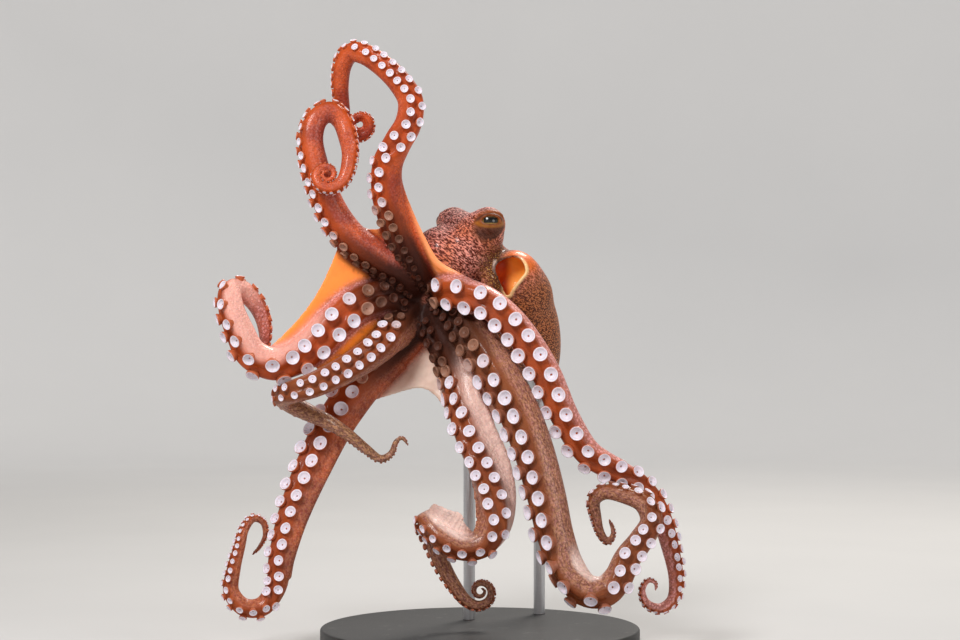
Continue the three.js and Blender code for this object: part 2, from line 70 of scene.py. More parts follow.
STATION_STEP = 0.001  # between the places where an arm's frame is worked out
TIP_RADIUS = 0.0015
COIL_STEPS = 8  # knots in each turn of a coiled tip
FAR = 0.05  # the distance that stands for anywhere far from a part

# Each arm's radius at its root, how late it narrows, its route and its coil. A row of the route is the
# place of the arm's middle and the way its suckers face there.
ARMS = {
    "arm_l1": dict(
        root=0.016, taper=2.5,
        route=(
            (-0.040, 0.030, 0.350, -0.6, -0.8, 0),
            (-0.031, 0.004, 0.354, -0.8, -0.5, -0.2),
            (-0.014, -0.014, 0.351, -0.2, -0.9, -0.2),
            (0.009, -0.024, 0.341, 0, -1, -0.2),
            (0.034, -0.032, 0.319, -0.2, -1, -0.15),
            (0.063, -0.042, 0.276, -0.4, -1, 0),
            (0.084, -0.046, 0.229, -0.5, -1, -0.1),
            (0.106, -0.044, 0.195, -0.5, -1, -0.2),
            (0.132, -0.039, 0.178, -0.2, -1, 0),
            (0.158, -0.032, 0.161, 0.3, -0.9, 0.3),
            (0.176, -0.028, 0.136, 0.7, -0.6, 0.3),
            (0.187, -0.027, 0.103, 0.8, -0.6, 0.1),
            (0.193, -0.031, 0.069, 0.8, -0.6, -0.1),
            (0.189, -0.036, 0.049, 0.6, -0.5, -0.7),
            (0.176, -0.042, 0.042, 0, -0.4, -1),
            (0.163, -0.046, 0.048, -0.7, -0.2, -0.7),
            (0.159, -0.048, 0.061, -1, -0.2, 0),
            (0.165, -0.048, 0.070, -0.4, -0.2, 0.9),
            (0.172, -0.046, 0.067, 0.7, -0.1, 0.7),
            (0.172, -0.045, 0.060, 1, 0, -0.2),
        ),
    ),
    "arm_l2": dict(
        root=0.0215, taper=2.4,
        route=(
            (-0.036, 0.030, 0.335, -0.3, -1, 0.2),
            (-0.020, 0.006, 0.323, -0.5, -0.9, 0.3),
            (-0.001, -0.019, 0.300, -0.6, -0.8, 0),
            (0.020, -0.038, 0.271, -0.75, -0.65, 0),
            (0.038, -0.049, 0.237, -0.72, -0.7, 0),
            (0.053, -0.060, 0.198, -0.72, -0.7, 0),
            (0.065, -0.069, 0.155, -0.78, -0.62, 0),
            (0.074, -0.076, 0.115, -0.82, -0.55, -0.1),
            (0.085, -0.081, 0.086, -0.8, -0.2, -0.6),
            (0.101, -0.085, 0.066, -0.3, -0.5, -0.8),
            (0.119, -0.085, 0.064, 0.2, -0.8, -0.5),
            (0.133, -0.081, 0.076, 0.3, -1, -0.1),
            (0.142, -0.077, 0.094, 0.1, -1, 0),
            (0.156, -0.073, 0.112, 0.1, -1, 0),
            (0.166, -0.070, 0.130, 0.4, -0.8, 0.4),
            (0.159, -0.066, 0.147, 0.3, -0.3, 0.9),
            (0.140, -0.060, 0.155, 0, -0.2, 1),
            (0.122, -0.054, 0.157, -0.2, 0, 1),
            (0.112, -0.048, 0.149, -1, 0, 0.2),
            (0.114, -0.042, 0.132, -1, 0, -0.1),
            (0.119, -0.039, 0.115, -1, 0.1, -0.2),
            (0.126, -0.037, 0.107, -0.3, 0.1, -1),
            (0.131, -0.038, 0.115, 1, 0, 0.1),
            (0.127, -0.040, 0.129, 1, 0, 0.3),
        ),
    ),
    "arm_l3": dict(
        root=0.0195, taper=1.6,
        route=(
            (-0.050, 0.030, 0.323, -0.3, -1, 0),
            (-0.035, 0.010, 0.303, -0.7, -0.7, 0.1),
            (-0.022, 0.006, 0.273, -0.85, -0.55, 0),
            (-0.014, -0.008, 0.244, -0.85, -0.55, 0),
            (-0.008, -0.025, 0.212, -0.5, -0.9, 0),
            (0.005, -0.039, 0.178, -0.2, -1, 0),
            (0.013, -0.050, 0.149, 0.1, -1, 0),
            (0.013, -0.057, 0.123, 0.3, -0.9, -0.3),
            (0.001, -0.061, 0.107, 0.1, -0.7, -0.7),
            (-0.018, -0.061, 0.104, -0.1, -0.7, -0.7),
            (-0.037, -0.058, 0.113, -0.3, -0.7, -0.6),
            (-0.050, -0.048, 0.126, -0.9, -0.3, -0.3),
            (-0.053, -0.034, 0.125, -1, 0.3, -0.1),
            (-0.047, -0.024, 0.109, -0.7, 0.6, -0.4),
            (-0.037, -0.020, 0.083, -0.8, 0.5, -0.3),
            (-0.025, -0.020, 0.062, -0.8, 0.2, -0.5),
            (-0.012, -0.021, 0.046, -0.8, 0, -0.6),
        ),
        coil=dict(radius=0.016, turns=1.6, last=0.003, drift=0.004),
    ),
    "arm_l4": dict(
        root=0.021, taper=1.4,
        route=(
            (-0.064, 0.032, 0.323, -0.3, -1, 0),
            (-0.083, 0.035, 0.300, -0.5, -0.9, 0),
            (-0.113, 0.030, 0.268, -0.6, -0.8, 0),
            (-0.144, 0.020, 0.228, -0.5, -0.85, 0),
            (-0.168, 0.006, 0.181, -0.5, -0.85, 0),
            (-0.187, -0.010, 0.132, -0.5, -0.85, 0),
            (-0.197, -0.022, 0.091, -0.5, -0.85, 0),
            (-0.202, -0.028, 0.060, -0.3, -0.9, -0.2),
            (-0.215, -0.034, 0.043, -0.1, -0.7, -0.7),
            (-0.232, -0.038, 0.043, -0.6, -0.7, -0.4),
            (-0.244, -0.040, 0.058, -0.8, -0.6, 0),
            (-0.242, -0.040, 0.079, -0.7, -0.7, 0),
            (-0.236, -0.038, 0.103, -0.7, -0.7, 0),
            (-0.232, -0.034, 0.119, -0.7, -0.5, 0.3),
            (-0.224, -0.028, 0.129, -0.1, -0.3, 1),
            (-0.215, -0.022, 0.125, 0.8, 0, 0.6),
            (-0.213, -0.018, 0.112, 1, 0, 0),
            (-0.219, -0.015, 0.100, 1, 0, -0.4),
            (-0.226, -0.014, 0.092, 0.4, 0, -1),
        ),
    ),
    "arm_r4": dict(
        root=0.018, taper=1.3,
        route=(
            (-0.073, 0.030, 0.331, -0.2, -0.8, 0.5),
            (-0.086, 0.009, 0.312, -0.2, -0.8, 0.5),
            (-0.103, -0.007, 0.296, 0, -0.9, 0.3),
            (-0.121, -0.019, 0.283, 0, -1, 0.2),
            (-0.142, -0.028, 0.271, 0, -1, 0.1),
            (-0.164, -0.034, 0.261, 0, -1, 0),
            (-0.182, -0.033, 0.255, -0.4, -0.9, 0),
            (-0.194, -0.020, 0.250, -1, -0.1, 0),
            (-0.189, -0.005, 0.242, -0.5, 0.8, -0.2),
            (-0.172, -0.007, 0.233, -0.1, 1, -0.3),
            (-0.151, -0.017, 0.224, -0.1, 1, -0.3),
            (-0.131, -0.025, 0.212, -0.2, 0.9, -0.4),
            (-0.113, -0.027, 0.198, -0.3, 0.8, -0.5),
            (-0.098, -0.026, 0.188, 0, 0.6, -0.8),
            (-0.088, -0.025, 0.193, 0.8, 0.4, -0.4),
            (-0.083, -0.025, 0.205, 0.9, 0.3, 0),
            (-0.077, -0.024, 0.208, 0, 0.2, 1),
            (-0.071, -0.022, 0.201, 1, 0, 0.3),
        ),
    ),
    "arm_r3": dict(
        root=0.02, taper=2.1,
        route=(
            (-0.077, 0.030, 0.343, -0.2, -0.95, 0.2),
            (-0.096, 0.016, 0.348, 0, -1, 0.2),
            (-0.119, 0.004, 0.342, 0, -1, 0),
            (-0.141, -0.006, 0.325, 0, -1, -0.1),
            (-0.162, -0.013, 0.303, 0, -1, -0.2),
            (-0.183, -0.018, 0.287, 0.1, -0.9, -0.3),
            (-0.205, -0.025, 0.282, -0.1, -0.85, -0.5),
            (-0.225, -0.030, 0.292, -0.6, -0.75, -0.3),
            (-0.236, -0.032, 0.313, -0.8, -0.6, 0),
            (-0.245, -0.030, 0.336, -0.9, -0.4, 0.2),
            (-0.247, -0.020, 0.353, -0.6, 0, 0.8),
            (-0.239, -0.009, 0.355, 0.1, 0.2, 1),
            (-0.227, 0.0, 0.344, 0.7, 0.3, 0.6),
            (-0.219, 0.004, 0.329, 1, 0.3, 0.3),
            (-0.216, 0.008, 0.311, 1, 0.3, 0),
            (-0.218, 0.013, 0.297, 0.7, 0.3, -0.6),
            (-0.226, 0.018, 0.289, 0, 0.3, -1),
            (-0.236, 0.024, 0.289, -0.7, 0.2, -0.7),
            (-0.241, 0.027, 0.297, -1, 0.2, 0),
        ),
    ),
    "arm_r2": dict(
        root=0.018, taper=1.5,
        route=(
            (-0.070, 0.030, 0.357, -0.3, -0.9, 0.1),
            (-0.082, 0.012, 0.371, -0.3, -0.8, -0.4),
            (-0.101, 0.001, 0.387, -0.5, -0.5, -0.7),
            (-0.123, -0.006, 0.402, -0.6, -0.5, -0.6),
            (-0.141, -0.010, 0.424, -0.8, -0.5, -0.4),
            (-0.154, -0.012, 0.450, -0.85, -0.5, -0.1),
            (-0.164, -0.013, 0.480, -0.9, -0.4, 0),
            (-0.168, -0.011, 0.507, -0.95, -0.3, 0.1),
            (-0.162, -0.007, 0.526, -0.7, -0.1, 0.7),
            (-0.150, -0.004, 0.533, 0.1, 0, 1),
            (-0.139, -0.004, 0.525, 0.8, 0, 0.6),
            (-0.132, -0.012, 0.506, 1, 0, 0),
            (-0.129, -0.028, 0.486, 1, 0, 0),
            (-0.134, -0.036, 0.464, 1, 0, -0.1),
        ),
        coil=dict(radius=0.017, turns=1.75, last=0.0032, drift=0.002),
    ),
    "arm_r1": dict(
        root=0.017, taper=1.7,
        route=(
            (-0.058, 0.030, 0.362, -0.1, -1, -0.2),
            (-0.066, 0.012, 0.379, -0.2, -0.9, -0.1),
            (-0.077, 0.001, 0.401, -0.3, -0.9, 0),
            (-0.086, -0.006, 0.428, -0.5, -0.85, 0),
            (-0.092, -0.012, 0.454, -0.7, -0.7, 0),
            (-0.091, -0.018, 0.480, -0.7, -0.7, 0),
            (-0.082, -0.022, 0.500, 0, -1, 0),
            (-0.071, -0.022, 0.520, 0.4, -0.9, 0),
            (-0.069, -0.019, 0.542, 0.4, -0.9, 0.1),
            (-0.079, -0.016, 0.560, 0.2, -0.95, 0.2),
            (-0.097, -0.012, 0.578, 0.1, -0.9, 0.3),
            (-0.116, -0.007, 0.590, 0, -0.8, 0.6),
            (-0.129, -0.001, 0.592, -0.5, -0.3, 0.8),
            (-0.137, 0.004, 0.581, -1, 0, 0.2),
            (-0.140, 0.012, 0.560, -1, 0, 0),
            (-0.138, 0.018, 0.538, -1, 0, 0),
            (-0.136, 0.020, 0.521, -1, 0, 0),
        ),
        coil=dict(radius=0.015, turns=1.9, last=0.0034, drift=0.001),
    ),
}

# How each arm looks: its suckers' width in arm radii, how far from the mouth they are still small and
# darkened by painted shade, as is the skin between them, its warmth from 0, tan, to 1, orange, how much
# of that it loses by its tip, and how frosted its edges are. A blanched stretch is pale round an angle:
# start, end, angle, spread. Keels are fins of skin. Angles are in degrees, 0 towards the suckers.
LOOKS = {
    "arm_l1": dict(suckers=0.92, onset=0.030, warmth=0.65, fading=0.10, frost=1.0),
    "arm_l2": dict(
        suckers=0.80, onset=0.105, warmth=0.10, frost=0.35, blanched=((0.285, 0.385, -135, 45),)
    ),
    "arm_l3": dict(
        suckers=0.70,
        onset=0.085,
        warmth=0.35,
        fading=0.30,
        frost=0.3,
        blanched=((0.030, 0.330, -105, 75), (0.250, 0.335, 122, 50)),
        keels=(
            dict(start=0.065, end=0.250, height=0.008, angle=-92, thickness=0.0035),
            dict(start=0.140, end=0.335, height=0.004, angle=105, thickness=0.0010),
            dict(start=0.255, end=0.327, height=0.019, angle=122, thickness=0.0011),
        ),
    ),
    "arm_l4": dict(
        suckers=0.82,
        onset=0.100,
        warmth=0.70,
        fading=0.25,
        frost=0.15,
        keels=(dict(start=0.040, end=0.300, height=0.0040, angle=-92, thickness=0.0040),),
    ),
    "arm_r4": dict(suckers=0.58, onset=0.040, warmth=0.35, fading=0.45, frost=0.3),
    "arm_r3": dict(
        suckers=0.80,
        onset=0.070,
        warmth=0.85,
        fading=0.10,
        frost=0.9,
        blanched=((0.075, 0.300, 88, 72),),
    ),
    "arm_r2": dict(suckers=0.60, onset=0.110, warmth=1.00, frost=0.2),
    "arm_r1": dict(suckers=0.62, onset=0.110, warmth=1.00, frost=0.1),
}

# Each web is a thin skin between two arms: how far it runs along each, how deep its free edge arches,
# how thick that edge is, and its tint from 0, grey-white, to 1, clear orange, which also sets how much
# it glows with painted light, as if lit from behind.
WEBS = (
    dict(arms=("arm_r1", "arm_l1"), reach=(0.135, 0.135), arch=0.55, rim=0.0024, tint=0.75),
    dict(arms=("arm_r2", "arm_r1"), reach=(0.095, 0.085), arch=0.15, rim=0.0014, tint=0.85),
    dict(arms=("arm_r3", "arm_r2"), reach=(0.175, 0.100), arch=0.12, rim=0.0012, tint=0.92),
    dict(arms=("arm_r4", "arm_r3"), reach=(0.130, 0.140), arch=0.10, rim=0.0012, tint=1.0),
    dict(arms=("arm_l4", "arm_r4"), reach=(0.100, 0.100), arch=0.20, rim=0.0012, tint=0.8),
    dict(arms=("arm_l3", "arm_l4"), reach=(0.165, 0.105), arch=0.40, rim=0.0014, tint=0.05),
    dict(arms=("arm_l2", "arm_l3"), reach=(0.170, 0.180), arch=0.25, rim=0.0012, tint=0.15),
    dict(arms=("arm_l1", "arm_l2"), reach=(0.120, 0.110), arch=0.25, rim=0.0012, tint=0.4),
)
WEB_THICKNESS = 0.0019
WEB_SETBACK = 0.45  # how far behind an arm's middle the web meets it, in arm radii

# An arm's outline in arm radii, with a ridge under each row of suckers and a groove between them.
ARM_ROUND = 0.89
ARM_RIDGE = dict(height=0.07, turn=0.62, width=0.3)
ARM_GROOVE = dict(depth=0.16, width=0.3)
ARM_BLENDS = (0.0005, 0.0060)  # how wide the corner between two arms is filled, far out and near
ARM_BLEND_REACHES = (0.055, 0.105)  # how far from the crown's middle that changes
FOOT_DEPTHS = (2.0, 1.05)  # of the mound under a sucker, in sucker radii
FOOT_RADII = (0.95, 0.70)
FOOT_BLEND = 0.35
# How wide the corners between other parts are filled.
BODY_BLEND = 0.006
WEB_BLEND = 0.0028
CROWN_BLEND = 0.006
HEAD_BLENDS = dict(brow=0.006, bulge=0.005, eye=0.003, slit=0.0012, neck=0.006)
MANTLE_BLENDS = dict(collar=0.012, opening=0.006, rim=0.002, lip=0.0015, funnel=0.004, head=0.003)

CROWN_MIDDLE = np.array((-0.057, 0.040, 0.342))
CROWN_RADII = np.array((0.032, 0.018, 0.034))
HEAD_MIDDLE = np.array((-0.010, 0.056, 0.399))
HEAD_RADII = np.array((0.030, 0.027, 0.030))
NECK = (
    # from the crown, under the head, into the mantle: x, y, z, radius
    (-0.062, 0.040, 0.338, 0.019),
    (-0.050, 0.046, 0.354, 0.027),
    (-0.038, 0.056, 0.389, 0.031),
    (-0.012, 0.058, 0.394, 0.030),
    (0.014, 0.062, 0.380, 0.023),
)
MANTLE_FRONT = np.array((0.012, 0.058, 0.389))
MANTLE_TIP = np.array((0.072, 0.112, 0.256))
MANTLE_RADIUS = 0.0405
MANTLE_FLATNESS = 0.9
COLLAR_MIDDLE = np.array((0.034, 0.048, 0.369))
COLLAR_RADIUS = 0.0275
SHOULDER_MIDDLE = np.array((0.044, 0.060, 0.352))
SHOULDER_RADIUS = 0.0295
OPENING_MIDDLE = np.array((0.0310, 0.0250, 0.3710))
OPENING_RADII = np.array((0.0240, 0.0220, 0.0260))
OPENING_LOBES = (
    # the rounds that its outline is drawn from, seen from the front: x, z, radius
    (0.0340, 0.3755, 0.0132),
    (0.0240, 0.3760, 0.0088),
)
OPENING_POINT = (0.0280, 0.3525, 0.0024)
LIP_RADII = (0.0004, 0.0017)  # where it lies against the head, and at its free edge
COLLAR_SHINE = np.array((0.0450, 0.0300, 0.3920))
BARE_SPOT = (0.0155, 0.3790)  # the whitish wart beside the opening: x, z
FUNNEL_ROOT = np.array((0.013, 0.045, 0.373))
FUNNEL_MOUTH = np.array((0.004, 0.021, 0.347))
FUNNEL_RADII = (0.0105, 0.006)
BULGE_RADIUS = 0.0178
BROW_RADIUS = 0.0245
EYES = {
    "eye_left": dict(bulge=(0.008, 0.034, 0.422), gaze=(0.17, -0.95, 0.20)),
    "eye_right": dict(bulge=(-0.027, 0.078, 0.424), gaze=(-0.62, 0.75, 0.22)),
}
LID_THICKNESS = 0.0014
LID_FOLDS = (
    # furrows and ridges round the eye: where and how wide, in slit sizes, and how high
    (1.35, 0.30, -0.0009),
    (1.85, 0.35, 0.0008),
    (2.45, 0.45, -0.0007),
)
LID_OPENING = np.array((0.0086, 0.0044))  # half the slit's width and half its height
EYE_PATCH_MIDDLE = (-0.0030, -0.0055)  # of the smooth skin round an eye: level and up from the eye
EYE_PATCH_RADII = (0.0235, 0.0195)
CROWN_SHADE_RADII = (0.052, 0.060, 0.050)  # how far the painted shade round the mouth reaches

FIRST_SUCKER = 0.010  # from the arm's root
LAST_SUCKER = 0.003  # from its tip
SMALLEST_STEP = 0.0009
SUCKER_STANCE = (0.92, 0.22)  # from the arm's middle to a sucker's foot: arm radii and sucker widths
ROW_SPREAD = (0.66, 0.65)  # a row's way aside: at most so many arm radii and sucker widths


# ---- Small sums on arrays ----


def unit(vectors):
    vectors = np.asarray(vectors, float)
    return vectors / np.linalg.norm(vectors, axis=-1, keepdims=True)


def smoothstep(low, high, value):
    share = np.clip((value - low) / (high - low), 0, 1)
    return share * share * (3 - 2 * share)


def bell(value, middle, width):
    """1 at the middle, falling to 0 a width away on either side."""
    return 1 - smoothstep(0, width, np.abs(value - middle))


def blended(one, other, width):
    """The smaller of two distances, with the corner between them filled over the given width."""
    share = np.clip(0.5 + 0.5 * (other - one) / width, 0, 1)
    return other * (1 - share) + one * share - width * share * (1 - share)


def carved(solid, cutter, width):
    """What is left of a solid once the cutter is taken away, with a rounded rim."""
    return -blended(-solid, cutter, width)


def ball(points, middle, radius):
    return np.linalg.norm(points - np.asarray(middle), axis=-1) - radius


def ellipsoid(points, middle, radii):
    offset = points - middle
    scaled = np.linalg.norm(offset / radii, axis=-1)
    slope = np.linalg.norm(offset / radii**2, axis=-1)
    return scaled * (scaled - 1) / np.maximum(slope, 1e-6)


def cone(points, start, end, start_radius, end_radius):
    """A rod with round ends whose radius changes evenly from start to end."""
    start, end = np.asarray(start), np.asarray(end)
    way = end - start
    share = np.clip((points - start) @ way / (way @ way), 0, 1)
    radius = start_radius + (end_radius - start_radius) * share
    return np.linalg.norm(points - start - share[..., None] * way, axis=-1) - radius


# ---- Arms ----


def coil_knots(route, radius, turns, last, drift):
    """The knots of a coil that winds inwards from the end of a route, suckers outwards."""
    end = route[-1, :3]
    along = unit(end - route[-2, :3])
    outward = unit(route[-1, 3:] - along * (route[-1, 3:] @ along))
    axis = np.cross(along, outward)
    middle = end - outward * radius
    count = round(turns * COIL_STEPS)
    knots = []
    for i in range(1, count + 1):
        share = i / count
        angle = 2 * math.pi * turns * share
        facing = outward * math.cos(angle) + along * math.sin(angle)
        place = middle + facing * radius * (last / radius) ** share + axis * drift * share
        knots.append((*place, *facing))
    return knots


def smooth_route(knots, steps=24):
    """A centripetal Catmull-Rom curve through the knots, and the way the suckers face along it."""
    points, facings = knots[:, :3], unit(knots[:, 3:])
    ends = np.vstack([2 * points[0] - points[1], points, 2 * points[-1] - points[-2]])
    share = np.linspace(0, 1, steps, endpoint=False)[:, None]
    blend = share * share * (3 - 2 * share)
    places, ways = [], []
    for i in range(len(points) - 1):
        p0, p1, p2, p3 = ends[i : i + 4]
        d0, d1, d2 = (math.sqrt(np.linalg.norm(b - a)) for a, b in ((p0, p1), (p1, p2), (p2, p3)))
        out = ((p1 - p0) / d0 - (p2 - p0) / (d0 + d1) + (p2 - p1) / d1) * d1
        back = ((p2 - p1) / d1 - (p3 - p1) / (d1 + d2) + (p3 - p2) / d2) * d1
        bend = -3 * p1 + 3 * p2 - 2 * out - back
        places.append(p1 + out * share + bend * share**2 + (2 * p1 - 2 * p2 + out + back) * share**3)
        ways.append(facings[i] * (1 - blend) + facings[i + 1] * blend)
    return np.vstack([*places, points[-1:]]), np.vstack([*ways, facings[-1:]])


def softened(values, reach):
    """Values along a line, each one the mean of its neighbours within reach."""
    padded = np.pad(values, ((reach, reach), (0, 0)), "edge")
    kernel = np.hanning(2 * reach + 3)[1:-1]
    kernel /= kernel.sum()
    return np.stack([np.convolve(column, kernel, "valid") for column in padded.T], 1)


class Arm:
    """An arm's middle line with its frame: along it, towards the suckers, and aside."""

    def __init__(self, shape, looks):
        knots = np.array(shape["route"], float)
        if "coil" in shape:
            knots = np.vstack([knots, coil_knots(knots, **shape["coil"])])
        places, facings = smooth_route(knots)
        reach = np.r_[0, np.cumsum(np.linalg.norm(np.diff(places, axis=0), axis=1))]
        self.s = np.arange(0, reach[-1], STATION_STEP)
        self.place = np.stack([np.interp(self.s, reach, column) for column in places.T], 1)
        self.along = unit(softened(np.gradient(self.place, axis=0), 2))
        facings = softened(np.stack([np.interp(self.s, reach, column) for column in facings.T], 1), 4)
        self.facing = unit(facings - self.along * (facings * self.along).sum(1)[:, None])
        self.aside = np.cross(self.along, self.facing)
        self.length = reach[-1]
        self.radius = shape["root"] * (1 - (self.s / self.length) ** shape["taper"]) + TIP_RADIUS
        self.looks = looks
        self.keels = looks.get("keels", ())


def section(turn):
    """An arm's outline as a share of its radius. Turn is 0 towards the suckers and pi at the back."""
    off = (np.abs(turn) - ARM_RIDGE["turn"]) / ARM_RIDGE["width"]
    ridges = ARM_RIDGE["height"] * np.exp(-(off**2))
    groove = ARM_GROOVE["depth"] * np.exp(-((turn / ARM_GROOVE["width"]) ** 2))
    return ARM_ROUND + ridges - groove


def sucker_rows(arm, largest, spacing, tilt, chance):
    """Two rows of suckers in turn, large near the arm's root and tiny at its tip.

    Each gives its foot, its axis, the way along the arm, its radius, how much painted shade darkens
    it, its warmth and a number from 0 to 1 by chance.
    """
    rows = []
    s, side = FIRST_SUCKER, 1
    while s < arm.length - LAST_SUCKER:
        i = min(int(s / STATION_STEP), len(arm.s) - 1)
        radius = arm.radius[i]
        grown = min(1, s / arm.looks["onset"])
        width = min(arm.looks["suckers"] * radius, largest) * (0.40 + 0.60 * grown)
        width *= 1 + 0.1 * (chance.random() - 0.5)
        lean = tilt + 0.2 * (chance.random() - 0.5)
        aside = arm.aside[i] * side
        axis = arm.facing[i] * math.cos(lean) + aside * math.sin(lean)
        reach = SUCKER_STANCE[0] * radius + SUCKER_STANCE[1] * width
        off = min(ROW_SPREAD[0] * radius, ROW_SPREAD[1] * width)
        foot = arm.place[i] + arm.facing[i] * math.sqrt(reach**2 - off**2) + aside * off
        # How much painted shade darkens this sucker, less further from the mouth.
        shade = 1 - grown**3
        shades = shade, arm.looks["warmth"], chance.random()
        rows.append((*foot, *axis, *arm.along[i], width / 2, *shades))
        s += max(spacing * width, SMALLEST_STEP)
        side = -side
    return np.array(rows)


# ---- The field of distances ----


class Line:
    """The stations of all arms in one row of arrays."""

    def __init__(self, arms):
        self.arms = arms
        self.first = np.cumsum([0] + [len(arm.s) for arm in arms])
        for key in ("place", "along", "facing", "aside", "radius", "s"):
            setattr(self, key, np.concatenate([getattr(arm, key) for arm in arms]))
        self.warmth = np.concatenate(
            [arm.looks["warmth"] - arm.looks.get("fading", 0) * arm.s / arm.length for arm in arms]
        )
        self.frost = np.concatenate([np.full(len(arm.s), arm.looks["frost"]) for arm in arms])
        # Painted shade on the skin and suckers near the mouth, gone by each arm's onset.
        grown = [np.minimum(arm.s / arm.looks["onset"], 1) for arm in arms]
        self.shade = 1 - np.concatenate(grown) ** 3

    def blanching(self, station, angle):
        """How pale points are, from each arm's blanched stretch."""
        pale = np.zeros(len(station))
        for arm, first, last in zip(self.arms, self.first[:-1], self.first[1:]):
            here = (station >= first) & (station < last)
            s = self.s[station[here]]
            for start, end, middle, spread in arm.looks.get("blanched", ()):
                reach = smoothstep(start, start + 0.03, s) * (1 - smoothstep(end - 0.03, end, s))
                off = np.abs((np.degrees(angle[here]) - middle + 180) % 360 - 180)
                pale[here] = np.maximum(pale[here], reach * (1 - smoothstep(0.5 * spread, spread, off)))
        return pale

    def coordinates(self, station, points):
        """How far points lie towards the suckers, aside and ahead of their stations."""
        offset = points - self.place[station]
        return [(offset * axes[station]).sum(1) for axes in (self.facing, self.aside, self.along)]


class Field:
    """Distances to the skin on a regular grid over the whole animal."""

    def __init__(self, low, high, cell):
        self.low = np.asarray(low, float)
        self.cell = cell
        self.shape = tuple(np.ceil((np.asarray(high) - self.low) / cell).astype(int) + 1)
        self.arms, self.webs, self.body = (np.full(self.shape, FAR, np.float32) for _ in range(3))
        self.station = np.full(self.shape, -1, np.int32)
        self.tint = np.zeros(self.shape, np.float32)

    def block(self, low, high):
        """The cells between two corners."""
        first = np.maximum((np.asarray(low) - self.low) / self.cell, 0).astype(int)
        past = np.ceil((np.asarray(high) - self.low) / self.cell).astype(int) + 1
        last = np.minimum(past, self.shape)
        return tuple(slice(int(a), int(b)) for a, b in zip(first, last))

    def places(self, block):
        """Where the cells of a block lie."""
        axes = [self.low[i] + self.cell * np.arange(block[i].start, block[i].stop) for i in range(3)]
        return np.stack(np.meshgrid(*axes, indexing="ij"), -1)

    def cells_near(self, points):
        """The cell nearest to each point."""
        cells = np.rint((points - self.low) / self.cell).astype(int)
        return tuple(np.clip(cells, 0, np.array(self.shape) - 1).T)

    def sample(self, values, points):
        """Values between cells, from the eight cells round each point."""
        where = np.clip((points - self.low) / self.cell, 0, np.array(self.shape) - 1.001)
        corner = where.astype(int)
        part = where - corner
        total = np.zeros(len(points))
        for shift in np.ndindex(2, 2, 2):
            weight = np.prod(np.where(shift, part, 1 - part), axis=1)
            total += weight * values[tuple((corner + shift).T)]
        return total

    def add_arm(self, line, number, suckers):
        """An arm, swept along its stations, with the mounds under its suckers."""
        arm = line.arms[number]
        spare = 0.004 + max([keel["height"] for keel in arm.keels], default=0.0)
        reach = arm.radius.max() * 1.2 + spare
        block = self.block(arm.place.min(0) - reach, arm.place.max(0) + reach)
        shape = [part.stop - part.start for part in block]
        axes = [self.low[i] + self.cell * np.arange(block[i].start, block[i].stop) for i in range(3)]
        near = np.full(shape, FAR, np.float32)
        station = np.full(shape, -1, np.int32)
        for i, (place, radius) in enumerate(zip(arm.place, arm.radius)):
            low, high = place - 1.2 * radius - spare, place + 1.2 * radius + spare
            part = tuple(slice(*np.searchsorted(axis, (a, b))) for axis, a, b in zip(axes, low, high))
            x, y, z = ((axis[cut] - middle) ** 2 for axis, cut, middle in zip(axes, part, place))
            distance = np.sqrt(x[:, None, None] + y[None, :, None] + z[None, None, :]) - radius
            closer = distance < near[part]
            near[part][closer] = distance[closer]
            station[part][closer] = i
        inside = station >= 0
        index = station[inside] + line.first[number]
        points = self.places(block)[inside]
        near[inside] = self.arm_distance(line, arm, number, index, points)
        for sucker in suckers:
            self.add_foot(near, block, sucker)
        crown = np.linalg.norm(self.places(block) - CROWN_MIDDLE, axis=-1)
        narrow, wide = ARM_BLENDS
        width = narrow + (wide - narrow) * (1 - smoothstep(*ARM_BLEND_REACHES, crown))
        nearer = (near < self.arms[block]) & inside
        self.station[block][nearer] = station[nearer] + line.first[number]
        self.arms[block] = blended(self.arms[block], near, width)

    def arm_distance(self, line, arm, number, index, points):
        """Distances to an arm's own outline at the nearest station, with its keels."""
        out, aside, ahead = line.coordinates(index, points)
        turn = np.arctan2(aside, out)
        radius = line.radius[index]
        ends = np.zeros(len(points))
        first, last = line.first[number], line.first[number + 1] - 1
        ends[index == first] = np.maximum(-ahead[index == first], 0)
        ends[index == last] = np.maximum(ahead[index == last], 0)
        distance = np.hypot(np.hypot(out, aside), ends) - np.maximum(radius * section(turn), TIP_RADIUS)
        for keel in arm.keels:
            share = (line.s[index] - keel["start"]) / (keel["end"] - keel["start"])
            rise = np.sin(math.pi * np.clip(share, 0, 1)) ** 0.8
            angle = math.radians(keel["angle"])
            reach = out * math.cos(angle) + aside * math.sin(angle)
            off = np.abs(aside * math.cos(angle) - out * math.sin(angle))
            tip = 0.88 * radius - keel["thickness"] + rise * (keel["height"] + keel["thickness"])
            past = np.maximum(reach - tip, 0)
            fin = np.maximum(np.hypot(off, past) - keel["thickness"], 0.3 * radius - reach)
            fin[(share <= 0) | (share >= 1)] = FAR
            distance = blended(distance, fin, 2.0 * keel["thickness"] + 0.001)
        return distance

    def add_foot(self, near, block, sucker):
        """The mound of flesh that a sucker stands on."""
        foot, axis, size = sucker[0:3], sucker[3:6], sucker[9]
        reach = 3.0 * size + 0.003
        starts = [part.start for part in block]
        cells = self.block(foot - reach, foot + reach)
        inner = tuple(
            slice(max(cut.start - start, 0), min(cut.stop - start, count))
            for cut, start, count in zip(cells, starts, near.shape)
        )
        part = tuple(slice(cut.start + start, cut.stop + start) for cut, start in zip(inner, starts))
        ends = [foot - depth * size * axis for depth in FOOT_DEPTHS]
        mound = cone(self.places(part), *ends, *(share * size for share in FOOT_RADII))
        near[inner] = blended(near[inner], mound, FOOT_BLEND * size + 0.0004)

